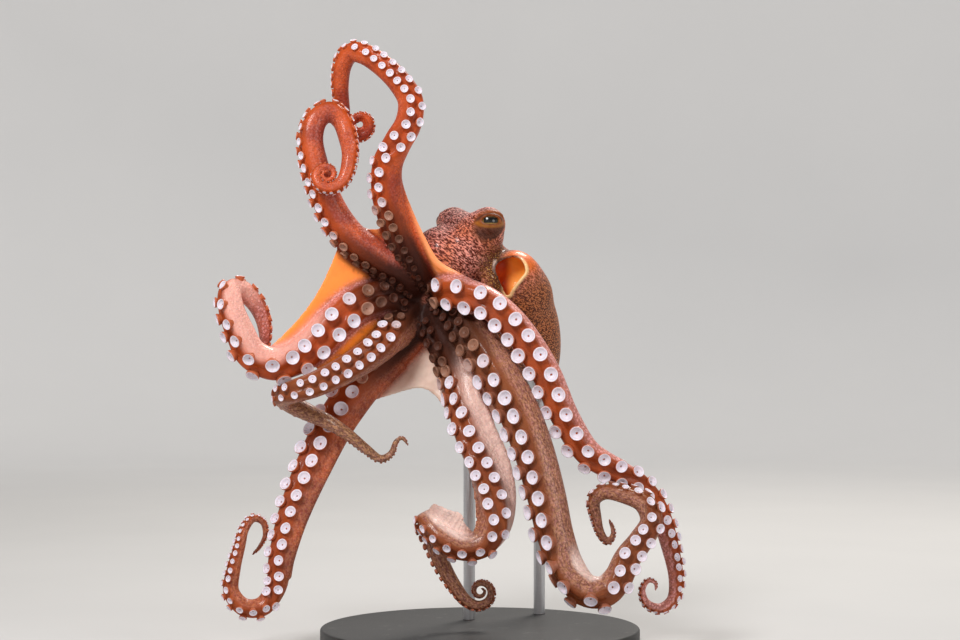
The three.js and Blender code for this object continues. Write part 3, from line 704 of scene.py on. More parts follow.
    def add_crown(self):
        """The flesh round the mouth, where the arms meet."""
        block = self.block(CROWN_MIDDLE - CROWN_RADII - 0.01, CROWN_MIDDLE + CROWN_RADII + 0.01)
        crown = ellipsoid(self.places(block), CROWN_MIDDLE, CROWN_RADII)
        self.arms[block] = blended(self.arms[block], crown, CROWN_BLEND)

    def add_web(self, web, line):
        """A web, as small discs laid side by side over its sheet."""
        points, normals, half, disc = web_sheet(web, line)
        spare = 0.004 + half.max()
        block = self.block(points.min(0) - spare, points.max(0) + spare)
        sheet = np.full([part.stop - part.start for part in block], FAR, np.float32)
        start = np.array([part.start for part in block])
        steps = int(math.ceil(spare / self.cell))
        corner = np.floor((points - self.low) / self.cell).astype(int)
        for shift in np.ndindex(*[2 * steps] * 3):
            cells = corner + np.array(shift) - steps + 1
            inside = ((cells >= start) & (cells < start + sheet.shape)).all(1)
            offset = self.low + self.cell * cells[inside] - points[inside]
            through = np.abs((offset * normals[inside]).sum(1))
            flat = np.sqrt(np.maximum((offset**2).sum(1) - through**2, 0))
            distance = np.hypot(through, np.maximum(flat - disc, 0)) - half[inside]
            np.minimum.at(sheet, tuple((cells[inside] - start).T), distance.astype(np.float32))
        self.tint[block][sheet < self.webs[block]] = web["tint"]
        self.webs[block] = np.minimum(self.webs[block], sheet)

    def add_body(self):
        """Head, mantle and funnel."""
        spare = 0.006
        ends = np.array([MANTLE_TIP, HEAD_MIDDLE, CROWN_MIDDLE, MANTLE_FRONT])
        block = self.block(ends.min(0) - MANTLE_RADIUS - spare, ends.max(0) + 0.05 + spare)
        self.body[block] = body_distance(self.places(block))

    def skin(self):
        """All parts together, with their corners filled."""
        core = blended(self.arms, self.body, BODY_BLEND)
        return blended(core, self.webs, WEB_BLEND)

    def mesh(self):
        """Points and faces where the distance is nought."""
        band = 4 * self.cell
        grid = openvdb.FloatGrid(FAR)
        grid.copyFromArray(np.clip(self.skin(), -band, band).astype(np.float64))
        points, quads = grid.convertToQuads(0.0)
        return self.low + self.cell * points, quads


def web_sheet(web, line):
    """Points all over a web, their normals, half its thickness there, and how far apart they lie."""
    one, other = (line.arms[list(ARMS).index(name)] for name in web["arms"])
    spacing = 0.0016
    ends = [arm.place[round(reach / STATION_STEP)] for arm, reach in zip((one, other), web["reach"])]
    spread = np.linalg.norm(ends[0] - ends[1])
    across = np.linspace(0, 1, int(spread / spacing) + 2)
    down = np.linspace(0, 1, int(max(web["reach"]) / spacing) + 2)[:, None]
    share = down * (1 - web["arch"] * np.sin(math.pi * across))
    sides = []
    for arm, reach in zip((one, other), web["reach"]):
        s = share * reach
        edge = arm.place - WEB_SETBACK * arm.radius[:, None] * arm.facing
        sides.append(np.stack([np.interp(s, arm.s, column) for column in edge.T], -1))
    rows = sides[0] * (1 - across[:, None]) + sides[1] * across[:, None]
    normals = np.cross(np.gradient(rows, axis=0), np.gradient(rows, axis=1))
    normals /= np.maximum(np.linalg.norm(normals, axis=-1, keepdims=True), 1e-12)
    from_edge = (1 - down) * np.linalg.norm(rows[-1] - rows[0], axis=-1)
    half = WEB_THICKNESS / 2 + (web["rim"] - WEB_THICKNESS / 2) * np.exp(-((from_edge / 0.0025) ** 2))
    return rows.reshape(-1, 3), normals.reshape(-1, 3), half.ravel(), 0.8 * spacing


# ---- Head, mantle and funnel ----


def eye_frame(name):
    """An eye's middle, its radius, and its axes: level, up and out."""
    low, high = (np.array(corner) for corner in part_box(name))
    out = unit(EYES[name]["gaze"])
    level = unit(np.cross(out, (0, 0, 1)))
    return (low + high) / 2, (high - low).max() / 2, level, np.cross(level, out), out


def mantle_outline():
    """The mantle's width along its length: quick to widen behind the head, and round at its far end."""
    share = (1 - np.cos(np.linspace(0, math.pi, 90))) / 2
    width = np.abs(np.sin(math.pi * share**0.8)) ** 0.62
    return share * np.linalg.norm(MANTLE_TIP - MANTLE_FRONT), MANTLE_RADIUS * width


def mantle_distance(points):
    """Distances to the mantle, looked up in a table over its length and width."""
    way = MANTLE_TIP - MANTLE_FRONT
    turn = Vector((0, 1, 0)).rotation_difference(Vector(way)).to_matrix()
    local = (points - MANTLE_FRONT) @ np.array(turn)
    length, width = mantle_outline()
    step, spare = 0.001, 0.045
    u = np.arange(-spare, length[-1] + spare, step)
    v = np.arange(0, MANTLE_RADIUS + spare, step)
    grid_u, grid_v = np.meshgrid(u, v, indexing="ij")
    table = np.full(grid_u.shape, FAR)
    for a, b, c, d in zip(length[:-1], width[:-1], length[1:], width[1:]):
        span = max((c - a) ** 2 + (d - b) ** 2, 1e-12)
        share = np.clip(((grid_u - a) * (c - a) + (grid_v - b) * (d - b)) / span, 0, 1)
        table = np.minimum(table, np.hypot(grid_u - a - share * (c - a), grid_v - b - share * (d - b)))
    within = (grid_u > 0) & (grid_u < length[-1]) & (grid_v < np.interp(grid_u, length, width))
    table[within] *= -1
    across = np.hypot(local[..., 0], local[..., 2] / MANTLE_FLATNESS)
    row = np.clip((local[..., 1] + spare) / step, 0, len(u) - 1.001)
    column = np.clip(across / step, 0, len(v) - 1.001)
    i, j = row.astype(int), column.astype(int)
    a, b = row - i, column - j
    near = table[i, j] * (1 - b) + table[i, j + 1] * b
    far = table[i + 1, j] * (1 - b) + table[i + 1, j + 1] * b
    return near * (1 - a) + far * a


def head_distance(points):
    """The head with its eye bulges and lids, and the neck."""
    head = ellipsoid(points, HEAD_MIDDLE, HEAD_RADII)
    for name, eye in EYES.items():
        bulge = np.array(eye["bulge"])
        brow = bulge * 0.55 + HEAD_MIDDLE * 0.45
        head = blended(head, ball(points, brow, BROW_RADIUS), HEAD_BLENDS["brow"])
        head = blended(head, ball(points, bulge, BULGE_RADIUS), HEAD_BLENDS["bulge"])
        middle, radius, level, up, out = eye_frame(name)
        head = blended(head, ball(points, middle, radius + LID_THICKNESS), HEAD_BLENDS["eye"])
        offset = points - middle
        beyond = offset @ out
        slit = np.hypot(offset @ level / LID_OPENING[0], offset @ up / LID_OPENING[1])
        folds = sum(height * bell(slit, where, width) for where, width, height in LID_FOLDS)
        over = 0.15 + 0.85 * smoothstep(-0.003, 0.003, offset @ up)
        head = head + np.where(beyond > 0, folds * over, 0)
        opening = np.where(beyond > 0, (slit - 1) * LID_OPENING[1], FAR)
        head = carved(head, opening, HEAD_BLENDS["slit"])
    for a, b in zip(NECK[:-1], NECK[1:]):
        head = blended(head, cone(points, a[:3], b[:3], a[3], b[3]), HEAD_BLENDS["neck"])
    return head


def mantle_shell(points):
    """The mantle with its collar, before the opening is taken out of it."""
    shell = mantle_distance(points)
    for middle, radius in ((SHOULDER_MIDDLE, SHOULDER_RADIUS), (COLLAR_MIDDLE, COLLAR_RADIUS)):
        shell = blended(shell, ball(points, middle, radius), MANTLE_BLENDS["collar"])
    return shell


def opening_distance(points):
    """The opening's hollow: round above and drawn to a point below."""
    flat = points[..., [0, 2]]
    x, z, tip = OPENING_POINT
    outline = [cone(flat, (a, b), (x, z), radius, tip) for a, b, radius in OPENING_LOBES]
    outline = blended(*outline, MANTLE_BLENDS["opening"])
    return np.maximum(outline, ellipsoid(points, OPENING_MIDDLE, OPENING_RADII))


def free_edge(points):
    """1 where the opening's lip is the mantle's free edge, falling to 0 against the head."""
    offset = points - OPENING_MIDDLE
    level = offset @ (0.86, 0.0, -0.51) / np.maximum(np.hypot(offset[..., 0], offset[..., 2]), 1e-6)
    return smoothstep(-0.35, 0.55, level)


def body_distance(points):
    """Head, neck, funnel and mantle, with the opening between the mantle's collar and the neck."""
    shell = mantle_shell(points)
    opening = opening_distance(points)
    thin, thick = LIP_RADII
    lip = np.hypot(shell, opening) - thin - (thick - thin) * free_edge(points)
    blends = MANTLE_BLENDS
    mantle = blended(carved(shell, opening, blends["rim"]), lip, blends["lip"])
    funnel = cone(points, FUNNEL_ROOT, FUNNEL_MOUTH, *FUNNEL_RADII)
    head = blended(head_distance(points), funnel, blends["funnel"])
    return blended(head, mantle, blends["head"])


@functools.cache
def all_arms():
    return [Arm(shape, LOOKS[name]) for name, shape in ARMS.items()]


@functools.cache
def all_suckers(largest, spacing, tilt):
    chance = np.random.default_rng(8)
    return [sucker_rows(arm, largest, spacing, tilt, chance) for arm in all_arms()]


@functools.cache
def whole_field(cell, largest, spacing, tilt):
    """The field of the whole animal, on the CAD nodes' own box."""
    line = Line(all_arms())
    flesh = [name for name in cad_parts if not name.startswith(("stand_", "eye_"))]
    boxes = np.array([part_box(name) for name in flesh])
    field = Field(boxes[:, 0].min(0) - 0.004, boxes[:, 1].max(0) + 0.004, cell)
    for number, suckers in enumerate(all_suckers(largest, spacing, tilt)):
        field.add_arm(line, number, suckers)
    field.add_crown()
    for web in WEBS:
        field.add_web(web, line)
    field.add_body()
    return field, line


# ---- Meshes ----


def mesh_piece(name, points, faces):
    """A new object made of points and faces, in the scene."""
    mesh = bpy.data.meshes.new(name)
    mesh.from_pydata(np.asarray(points).tolist(), [], [list(face) for face in faces])
    mesh.polygons.foreach_set("use_smooth", [True] * len(mesh.polygons))
    mesh.update()
    piece = bpy.data.objects.new(name, mesh)
    bpy.context.scene.collection.objects.link(piece)
    return piece


def points_of(mesh):
    points = np.empty(len(mesh.vertices) * 3)
    mesh.vertices.foreach_get("co", points)
    return points.reshape(-1, 3)


def normals_of(mesh):
    normals = np.empty(len(mesh.vertices) * 3)
    mesh.vertex_normals.foreach_get("vector", normals)
    return normals.reshape(-1, 3)


def set_values(mesh, **values):
    """Named numbers on a mesh's points, for its material to read."""
    for name, numbers in values.items():
        layer = mesh.attributes.new(name, "FLOAT", "POINT")
        layer.data.foreach_set("value", np.asarray(numbers, np.float32))


def thinned(piece, faces):
    """Takes faces away where the mesh is flattest until it has about the given number of triangles."""
    modifier = piece.modifiers.new("thin", "DECIMATE")
    modifier.ratio = min(1, faces / (2 * len(piece.data.polygons)))
    bpy.context.view_layer.update()
    result = piece.evaluated_get(bpy.context.evaluated_depsgraph_get())
    mesh = bpy.data.meshes.new_from_object(result)
    piece.modifiers.clear()
    piece.data = mesh
    mesh.polygons.foreach_set("use_smooth", [True] * len(mesh.polygons))


def refined(piece, middles, reach, cuts):
    """Finer faces within reach of the middles."""
    work = bmesh.new()
    work.from_mesh(piece.data)
    edges = [
        edge
        for edge in work.edges
        if any((vert.co - middle).length < reach for middle in middles for vert in edge.verts)
    ]
    bmesh.ops.subdivide_edges(work, edges=edges, cuts=cuts, use_grid_fill=True)
    bmesh.ops.triangulate(work, faces=[face for face in work.faces if len(face.verts) > 4])
    work.to_mesh(piece.data)
    work.free()


def settled(points, distance, steps=4, probe=0.0002):
    """Points moved along the slope of a distance until they lie where it is nought."""
    points = points.copy()
    for _ in range(steps):
        here = distance(points)
        slope = np.stack([distance(points + probe * axis) - here for axis in np.eye(3)], -1) / probe
        steepness = np.maximum((slope**2).sum(-1), 0.25)
        points -= np.clip(here / steepness, -0.0015, 0.0015)[:, None] * slope
    return points


def turned(profile, sides):
    """A closed lathe form from (radius, height) pairs, from the bottom's middle to the top's."""
    points = [(0, 0, profile[0][1])]
    angles = np.arange(sides) * 2 * math.pi / sides
    for radius, height in profile[1:-1]:
        points += [(radius * math.cos(a), radius * math.sin(a), height) for a in angles]
    points.append((0, 0, profile[-1][1]))
    faces = []
    last = len(points) - 1
    for i in range(sides):
        j = (i + 1) % sides
        faces.append((0, 1 + j, 1 + i))
        for ring in range(len(profile) - 3):
            base = 1 + ring * sides
            faces.append((base + i, base + j, base + sides + j, base + sides + i))
        faces.append((last, last - sides + i, last - sides + j))
    return np.array(points), faces


# ---- Materials ----


class Wire:
    """A shader socket that sums can be written with."""

    def __init__(self, paint, socket):
        self.paint = paint
        self.socket = socket

    def math(self, operation, *values):
        sockets = dict(enumerate(values))
        return self.paint.add("Math", dict(operation=operation), sockets)

    def __add__(self, other):
        return self.math("ADD", self, other)

    def __radd__(self, other):
        return self.math("ADD", other, self)

    def __sub__(self, other):
        return self.math("SUBTRACT", self, other)

    def __rsub__(self, other):
        return self.math("SUBTRACT", other, self)

    def __mul__(self, other):
        return self.math("MULTIPLY", self, other)

    def __rmul__(self, other):
        return self.math("MULTIPLY", other, self)

    def __truediv__(self, other):
        return self.math("DIVIDE", self, other)

    def __pow__(self, other):
        return self.math("POWER", self, other)

    def __abs__(self):
        return self.math("ABSOLUTE", self)


class Paint:
    """A material under work, with one method that adds any node."""

    def __init__(self, name):
        self.material = bpy.data.materials.new(name)
        self.material.use_nodes = True
        self.tree = self.material.node_tree
        self.tree.nodes.clear()

    def add(self, kind, settings=None, sockets=None, output=0):
        """A new node: its settings come first, then the values or links of its sockets."""
        node = self.tree.nodes.new("ShaderNode" + kind)
        for name, value in (settings or {}).items():
            setattr(node, name, value)
        for name, value in (sockets or {}).items():
            if isinstance(value, Wire):
                self.tree.links.new(value.socket, node.inputs[name])
            else:
                node.inputs[name].default_value = value
        return Wire(self, node.outputs[output]) if node.outputs else node

    def value(self, name):
        """A number that the mesh carries."""
        return self.add("Attribute", dict(attribute_name=name), output=2)

    def place(self):
        return self.add("TexCoord", output=3)

    def mix(self, share, one, other):
        settings = dict(data_type="RGBA", clamp_factor=True)
        return self.add("Mix", settings, {0: share, 6: one, 7: other}, 2)

    def scaled(self, vector, factors):
        return self.add("VectorMath", dict(operation="MULTIPLY"), {0: vector, 1: factors})

    def along(self, vector, way):
        """How far a vector goes one way."""
        return self.add("VectorMath", dict(operation="DOT_PRODUCT"), {0: vector, 1: way}, 1)

    def together(self, x, y, z):
        return self.add("CombineXYZ", None, {0: x, 1: y, 2: z})

    def noise(self, vector, scale, detail, rough=0.5):
        sockets = {"Vector": vector, "Scale": scale, "Detail": detail, "Roughness": rough}
        return self.add("TexNoise", None, sockets)

    def cells(self, vector, scale):
        """The distance to the nearest of many scattered points."""
        return self.add("TexVoronoi", None, {"Vector": vector, "Scale": scale})

    def ramp(self, value, low, high):
        """A smooth step from 0 at low to 1 at high."""
        settings = dict(interpolation_type="SMOOTHSTEP", clamp=True)
        return self.add("MapRange", settings, {0: value, 1: low, 2: high, 3: 0.0, 4: 1.0})

    def bell(self, value, middle, width):
        """1 at the middle, falling to 0 a width away on either side."""
        return 1 - self.ramp(abs(value - middle), 0.0, width)

    def bump(self, height, distance, strength):
        sockets = {"Strength": strength, "Distance": distance, "Height": height}
        return self.add("Bump", None, sockets)

    def finish(self, **sockets):
        """The material's shader, from its sockets by name."""
        names = {name.replace("_", " "): value for name, value in sockets.items()}
        shader = self.add("BsdfPrincipled", None, names)
        self.add("OutputMaterial", None, {0: shader})
        return self.material


def solid(colour):
    return (*colour, 1.0)


# How fine the skin's textures are, in features per metre.
BLOTCHES = 38.0
PORES = 420.0
SPECKS = 640.0
FLECKS = 560.0
FROST_CELLS = 360.0
STREAKS = (170.0, 460.0)  # along an arm and round it
RIDGES = (270.0, 700.0, 480.0)  # along the slant of the head's ridges, across it, and front to back


def skin_material(looks):
    """The skin all over: arms, webs, and head with mantle, told apart by the numbers on the mesh."""
    paint = Paint("octopus_skin")
    place = paint.place()
    turn, run, round_, warm = (paint.value(name) for name in ("turn", "run", "round", "warm"))
    web, tint, body, deep = (paint.value(name) for name in ("web", "tint", "body", "deep"))
    lid, inside, lip, gold, rose, pale = (
        paint.value(name) for name in ("lid", "inside", "lip", "gold", "rose", "pale")
    )

    broad = paint.noise(place, BLOTCHES, 3.0)
    fine = paint.noise(place, PORES, 3.0)
    specks = paint.ramp(paint.cells(place, SPECKS), 0.62, 0.30)
    lengthwise = paint.together(run * STREAKS[0], round_ * STREAKS[1], 0.0)
    streaks = paint.noise(lengthwise, 1.0, 4.0, 0.65)

    # Arms: red to brown between the suckers, tan or orange on the back, frosted where the back begins.
    mottle = paint.ramp(broad + (fine - 0.5) * 0.25, 0.38, 0.66)
    oral = paint.mix(warm, solid(looks.oral_brown), solid(looks.oral_red))
    oral = paint.mix(paint.ramp(broad, 0.30, 0.75) * 0.55, oral, solid(looks.oral_dark))
    streak = paint.ramp(streaks + (fine - 0.5) * 0.3, 0.42, 0.60)
    tan = paint.mix(streak, solid(looks.back_tan), solid(looks.back_streak))
    orange = paint.mix(mottle, solid(looks.arm_orange), solid(looks.arm_deep))
    back = paint.mix(warm, tan, orange)
    colour = paint.mix(paint.ramp(turn + (broad - 0.5) * 0.16 * (1.0 - warm), 0.23, 0.38), oral, back)
    frost_net = paint.ramp(paint.cells(place, FROST_CELLS) + (fine - 0.5) * 0.3, 0.62, 0.30)
    edge = paint.ramp(turn, 0.24, 0.36) * (1.0 - 0.55 * paint.ramp(turn, 0.60, 0.95))
    frost = edge * (0.40 + 0.60 * frost_net) * paint.value("frost")
    colour = paint.mix(frost, colour, solid(looks.frost))
    colour = paint.mix(specks * 0.35 * paint.ramp(turn, 0.25, 0.5), colour, solid(looks.net_dark))
    blanched = paint.value("blanched") * (0.86 + 0.14 * mottle) * (1.0 - 0.22 * streak)
    colour = paint.mix(blanched, colour, paint.mix(warm, solid(looks.cream), solid(looks.blush)))

    # Webs: from grey-white to clear orange, a little darker in blotches. Then painted shade round the
    # mouth.
    film = paint.mix(tint, solid(looks.web_cream), solid(looks.web_orange))
    film = paint.mix(paint.ramp(broad, 0.35, 0.8) * 0.5, film, solid(looks.web_brown))
    colour = paint.mix(web, colour, film)
    # Painted shade: near black round the mouth, where the crown lies in shadow.
    colour = paint.mix(deep, colour, solid(looks.crown_painted_shade))

    # Head and mantle: pink ridges with dark gaps between them, gold specks beside the opening, smooth
    # skin round the eyes and on the collar, and the opening with its lip.
    jitter = paint.add("TexNoise", None, {"Vector": place, "Scale": 160.0, "Detail": 2.0}, 1)
    slant = paint.together(
        paint.along(place, (0.80, 0.20, -0.57)) * RIDGES[0],
        paint.along(place, (0.57, 0.0, 0.80)) * RIDGES[1],
        paint.along(place, (0.0, 1.0, 0.0)) * RIDGES[2],
    )
    shift = paint.scaled(jitter, (1.6, 1.6, 1.6))
    slant = paint.add("VectorMath", dict(operation="ADD"), {0: slant, 1: shift})
    waves = paint.noise(slant, 1.0, 2.0, 0.55)
    ridge = paint.ramp(waves + (fine - 0.5) * 0.12, 0.42, 0.60)
    hide = paint.mix(paint.ramp(broad, 0.3, 0.7), solid(looks.head_rose), solid(looks.head_orange))
    # Painted highlight: pale pink on head and mantle where they face upwards, towards the light.
    hide = paint.mix(rose * 0.7, hide, solid(looks.frost))
    hide = paint.mix(ridge, solid(looks.net_dark), hide)
    grains = paint.ramp(paint.cells(slant, 1.2) + (fine - 0.5) * 0.3, 0.62, 0.34)
    sac = paint.mix(grains, solid(looks.sac_deep), solid(looks.sac))
    hide = paint.mix(paint.value("sac") * (1.0 - rose), hide, sac)
    collar = paint.value("collar")
    hide = paint.mix(collar * (0.75 + 0.25 * ridge), hide, solid(looks.collar))
    flecks = paint.ramp(paint.cells(place, FLECKS), 0.42, 0.18)
    flecked = paint.mix(flecks, solid(looks.speckle_dark), solid(looks.gold))
    hide = paint.mix(gold, hide, flecked)
    hide = paint.mix(pale, hide, solid(looks.web_cream))
    # Painted shade: the skin round the eye darkens below it, under the eye's bulge.
    around = paint.mix(paint.value("under"), solid(looks.lid), solid(looks.lid_under_shade))
    hide = paint.mix(lid * 0.92, hide, around)
    # Painted shade in the folds over the eye.
    hide = paint.mix(paint.value("crease") * 0.85, hide, solid(looks.lid_fold_shade))
    hide = paint.mix(paint.value("arc") * 0.7, hide, solid(looks.lid_gold))
    # Painted shade inside the opening, on its side next to the head, where it lies in shadow.
    depth = paint.mix(paint.value("depth"), solid(looks.inside), solid(looks.inside_shade))
    hide = paint.mix(inside, hide, depth)
    # Painted shade in the crevice where the mantle's lip lies against the head.
    hide = paint.mix(paint.value("fold") * 0.8, hide, solid(looks.lid_fold_shade))
    hide = paint.mix(lip, hide, solid(looks.lip))
    colour = paint.mix(body, colour, hide)

    smooth = paint.ramp(lid + inside + lip + collar * 0.8, 0.2, 0.8)
    rough = 0.42 + 0.16 * fine + 0.08 * body * (1.0 - smooth)
    relief = ridge * body * (1.0 - smooth) * 0.9 + 0.35 * fine
    grain = 0.4 * streak * (1.0 - 0.5 * warm) + 0.6 * frost_net * edge
    relief = relief + (1.0 - body) * (1.0 - web) * grain
    normal = paint.bump(relief, 0.0006, 0.9)
    # Painted light: the orange webs glow, as if light shone through them, but not in the painted shade
    # round the mouth.
    glow = paint.mix(web * tint * (1.0 - deep), (0, 0, 0, 1), solid(looks.web_orange))
    return paint.finish(
        Base_Color=colour,
        Roughness=rough,
        Normal=normal,
        Specular_IOR_Level=0.18,
        Coat_Weight=0.20 * (1.0 - deep),
        Coat_Roughness=0.12,
        Subsurface_Weight=0.12,
        Subsurface_Radius=(1.0, 0.35, 0.2),
        Subsurface_Scale=0.004,
        Emission_Color=glow,
        Emission_Strength=0.50,
    )


def sucker_material(looks):
    """A sucker's stalk, rim, hollow and hole, with fine grooves that run outwards in the hollow;
    painted shade darkens the hollow, the hole and the suckers near the mouth.
    """
    paint = Paint("sucker_disc")
    place = paint.place()
    cup, across, up, warm = (paint.value(name) for name in ("cup", "across", "up", "warm"))
    fine = paint.noise(place, 900.0, 2.0)
    stalk = paint.mix(warm, solid(looks.stalk_brown), solid(looks.stalk_orange))
    angle = paint.add("Math", dict(operation="ARCTAN2"), {0: up, 1: across})
    grooves = paint.add("Math", dict(operation="SINE"), {0: angle * 26.0 + fine * 3.0})
    disc = paint.mix(paint.ramp(fine, 0.2, 0.8), solid(looks.disc), solid(looks.disc_shade))
    colour = paint.mix(paint.ramp(cup, 0.54, 0.64), stalk, disc)
    # Painted shade in the sucker's hollow, darker towards its middle.
    colour = paint.mix(paint.ramp(cup, 0.66, 0.92) * 0.22, colour, solid(looks.disc_hollow_shade))
    colour = paint.mix(paint.bell(cup, 0.74, 0.08) * 0.20, colour, solid(looks.disc_ring))
    # Painted shade: the hole in the middle is dark.
    colour = paint.mix(paint.ramp(cup, 0.92, 0.99), colour, solid(looks.disc_hole_shade))
    # Painted shade: suckers near the mouth turn brown, then nearly black, as if in shadow.
    dim = paint.value("dim")
    colour = paint.mix(paint.ramp(dim, 0.0, 0.55), colour, solid(looks.disc_half_shade))
    colour = paint.mix(paint.ramp(dim, 0.40, 1.0), colour, solid(looks.disc_full_shade))
    field = paint.ramp(cup, 0.64, 0.72) * (1.0 - paint.ramp(cup, 0.80, 0.88))
    relief = grooves * field * 0.25 + fine * 0.4
    return paint.finish(
        Base_Color=colour,
        Roughness=0.34 + 0.12 * fine,
        Normal=paint.bump(relief, 0.00025, 0.8),
        Specular_IOR_Level=0.2,
        Coat_Weight=0.22 * (1.0 - dim),
        Coat_Roughness=0.15,
        Subsurface_Weight=0.15,
        Subsurface_Radius=(1.0, 0.5, 0.4),
        Subsurface_Scale=0.002,
    )


def eye_material(looks):
    """A level slit in a gold iris with a dark edge, and painted shade over the iris's upper part."""
    paint = Paint("octopus_eye")
    across, up = paint.value("across"), paint.value("up")
    wide = abs(across / looks.pupil_width)
    tall = abs(up / looks.pupil_height)
    slit = wide**4.0 + tall**4.0
    pupil = 1.0 - paint.ramp(slit, 0.85, 1.15)
    reach = paint.add("Math", dict(operation="SQRT"), {0: across * across + up * up})
    angle = paint.add("Math", dict(operation="ARCTAN2"), {0: up, 1: across})
    fibres = paint.noise(paint.together(angle * 9.0, reach * 3.0, 0.0), 2.2, 3.0)
    iris = paint.mix(paint.ramp(fibres, 0.3, 0.7), solid(looks.iris), solid(looks.iris_dark))
    iris = paint.mix(paint.ramp(reach, 0.62, 0.80), iris, solid(looks.iris_edge_and_shade))
    rim = paint.ramp(slit, 2.6, 1.2) * (1.0 - pupil)
    iris = paint.mix(rim * 0.6, iris, solid(looks.iris_bright))
    # Painted shade over the upper part of the iris, under the lid.
    iris = paint.mix(paint.ramp(up, 0.05, 0.30) * 0.8, iris, solid(looks.iris_edge_and_shade))
    return paint.finish(
        Base_Color=paint.mix(pupil, iris, (0.004, 0.003, 0.003, 1.0)),
        Roughness=0.30 - 0.1 * pupil,
        Specular_IOR_Level=0.3,
        Coat_Weight=0.45,
        Coat_Roughness=0.05,
    )


BOARD_EDGE = 0.0022  # radius of the base's rounded upper edge


def board_material(looks):
    """Black lacquer with slight drift and fine wear on the edge."""
    paint = Paint("stand_lacquer")
    place = paint.place()
    drift = paint.noise(place, 9.0, 4.0)
    fine = paint.noise(place, 700.0, 3.0)
    colour = paint.mix(drift, solid(looks.board), solid(looks.board_worn))
    height = paint.along(place, (0.0, 0.0, 1.0))
    scuffs = paint.ramp(paint.noise(paint.scaled(place, (60.0, 60.0, 900.0)), 1.0, 3.0), 0.62, 0.74)
    edge = paint.bell(height, looks.board_edge, BOARD_EDGE)
    colour = paint.mix(scuffs * edge * 0.5, colour, solid(looks.board_scuff))
    return paint.finish(
        Base_Color=colour,
        Roughness=0.42 + 0.16 * drift + 0.1 * fine,
        Normal=paint.bump(fine, 0.00006, 0.6),
        Specular_IOR_Level=0.3,
        Coat_Weight=0.06,
        Coat_Roughness=0.25,
    )


def steel_material(looks):
    """Steel brushed round the rod."""
    paint = Paint("stand_steel")
    place = paint.place()
    lines = paint.noise(paint.scaled(place, (1.0, 1.0, 60.0)), 90.0, 3.0, 0.7)
    colour = paint.mix(lines, solid(looks.steel), solid(looks.steel_dark))
    return paint.finish(
        Base_Color=colour,
        Metallic=1.0,
        Roughness=0.26 + 0.22 * lines,
        Normal=paint.bump(lines, 0.00004, 0.6),
    )


def floor_material(looks):
    """A matt floor that glows a little towards the wall, so that the wall isn't dark."""
    paint = Paint("studio_floor")
    place = paint.place()
    drift = paint.noise(place, 3.0, 3.0)
    colour = paint.mix(drift, solid(looks.floor), solid(looks.floor_shade))
    level = paint.scaled(place, (1.0, 1.0, 0.0))
    reach = paint.add("VectorMath", dict(operation="LENGTH"), {0: level}, 1)
    glow = paint.mix(paint.ramp(reach, 1.3, 3.9), (0.0, 0.0, 0.0, 1.0), solid(looks.floor))
    return paint.finish(Base_Color=colour, Roughness=0.85, Emission_Color=glow, Emission_Strength=0.50)


# ---- Settings ----


def colour_of(name, value, description):
    return FloatVectorProperty(
        name=name, description=description, default=value, subtype="COLOR", size=3, min=0.0, max=1.0
    )


def length_of(name, value, description):
    return FloatProperty(name=name, description=description, default=value, unit="LENGTH", min=0.0)


def share_of(name, value, description):
    return FloatProperty(name=name, description=description, default=value, min=0.0)


def power_of(name, value, description):
    return FloatProperty(name=name, description=description, default=value, unit="POWER", min=0.0)


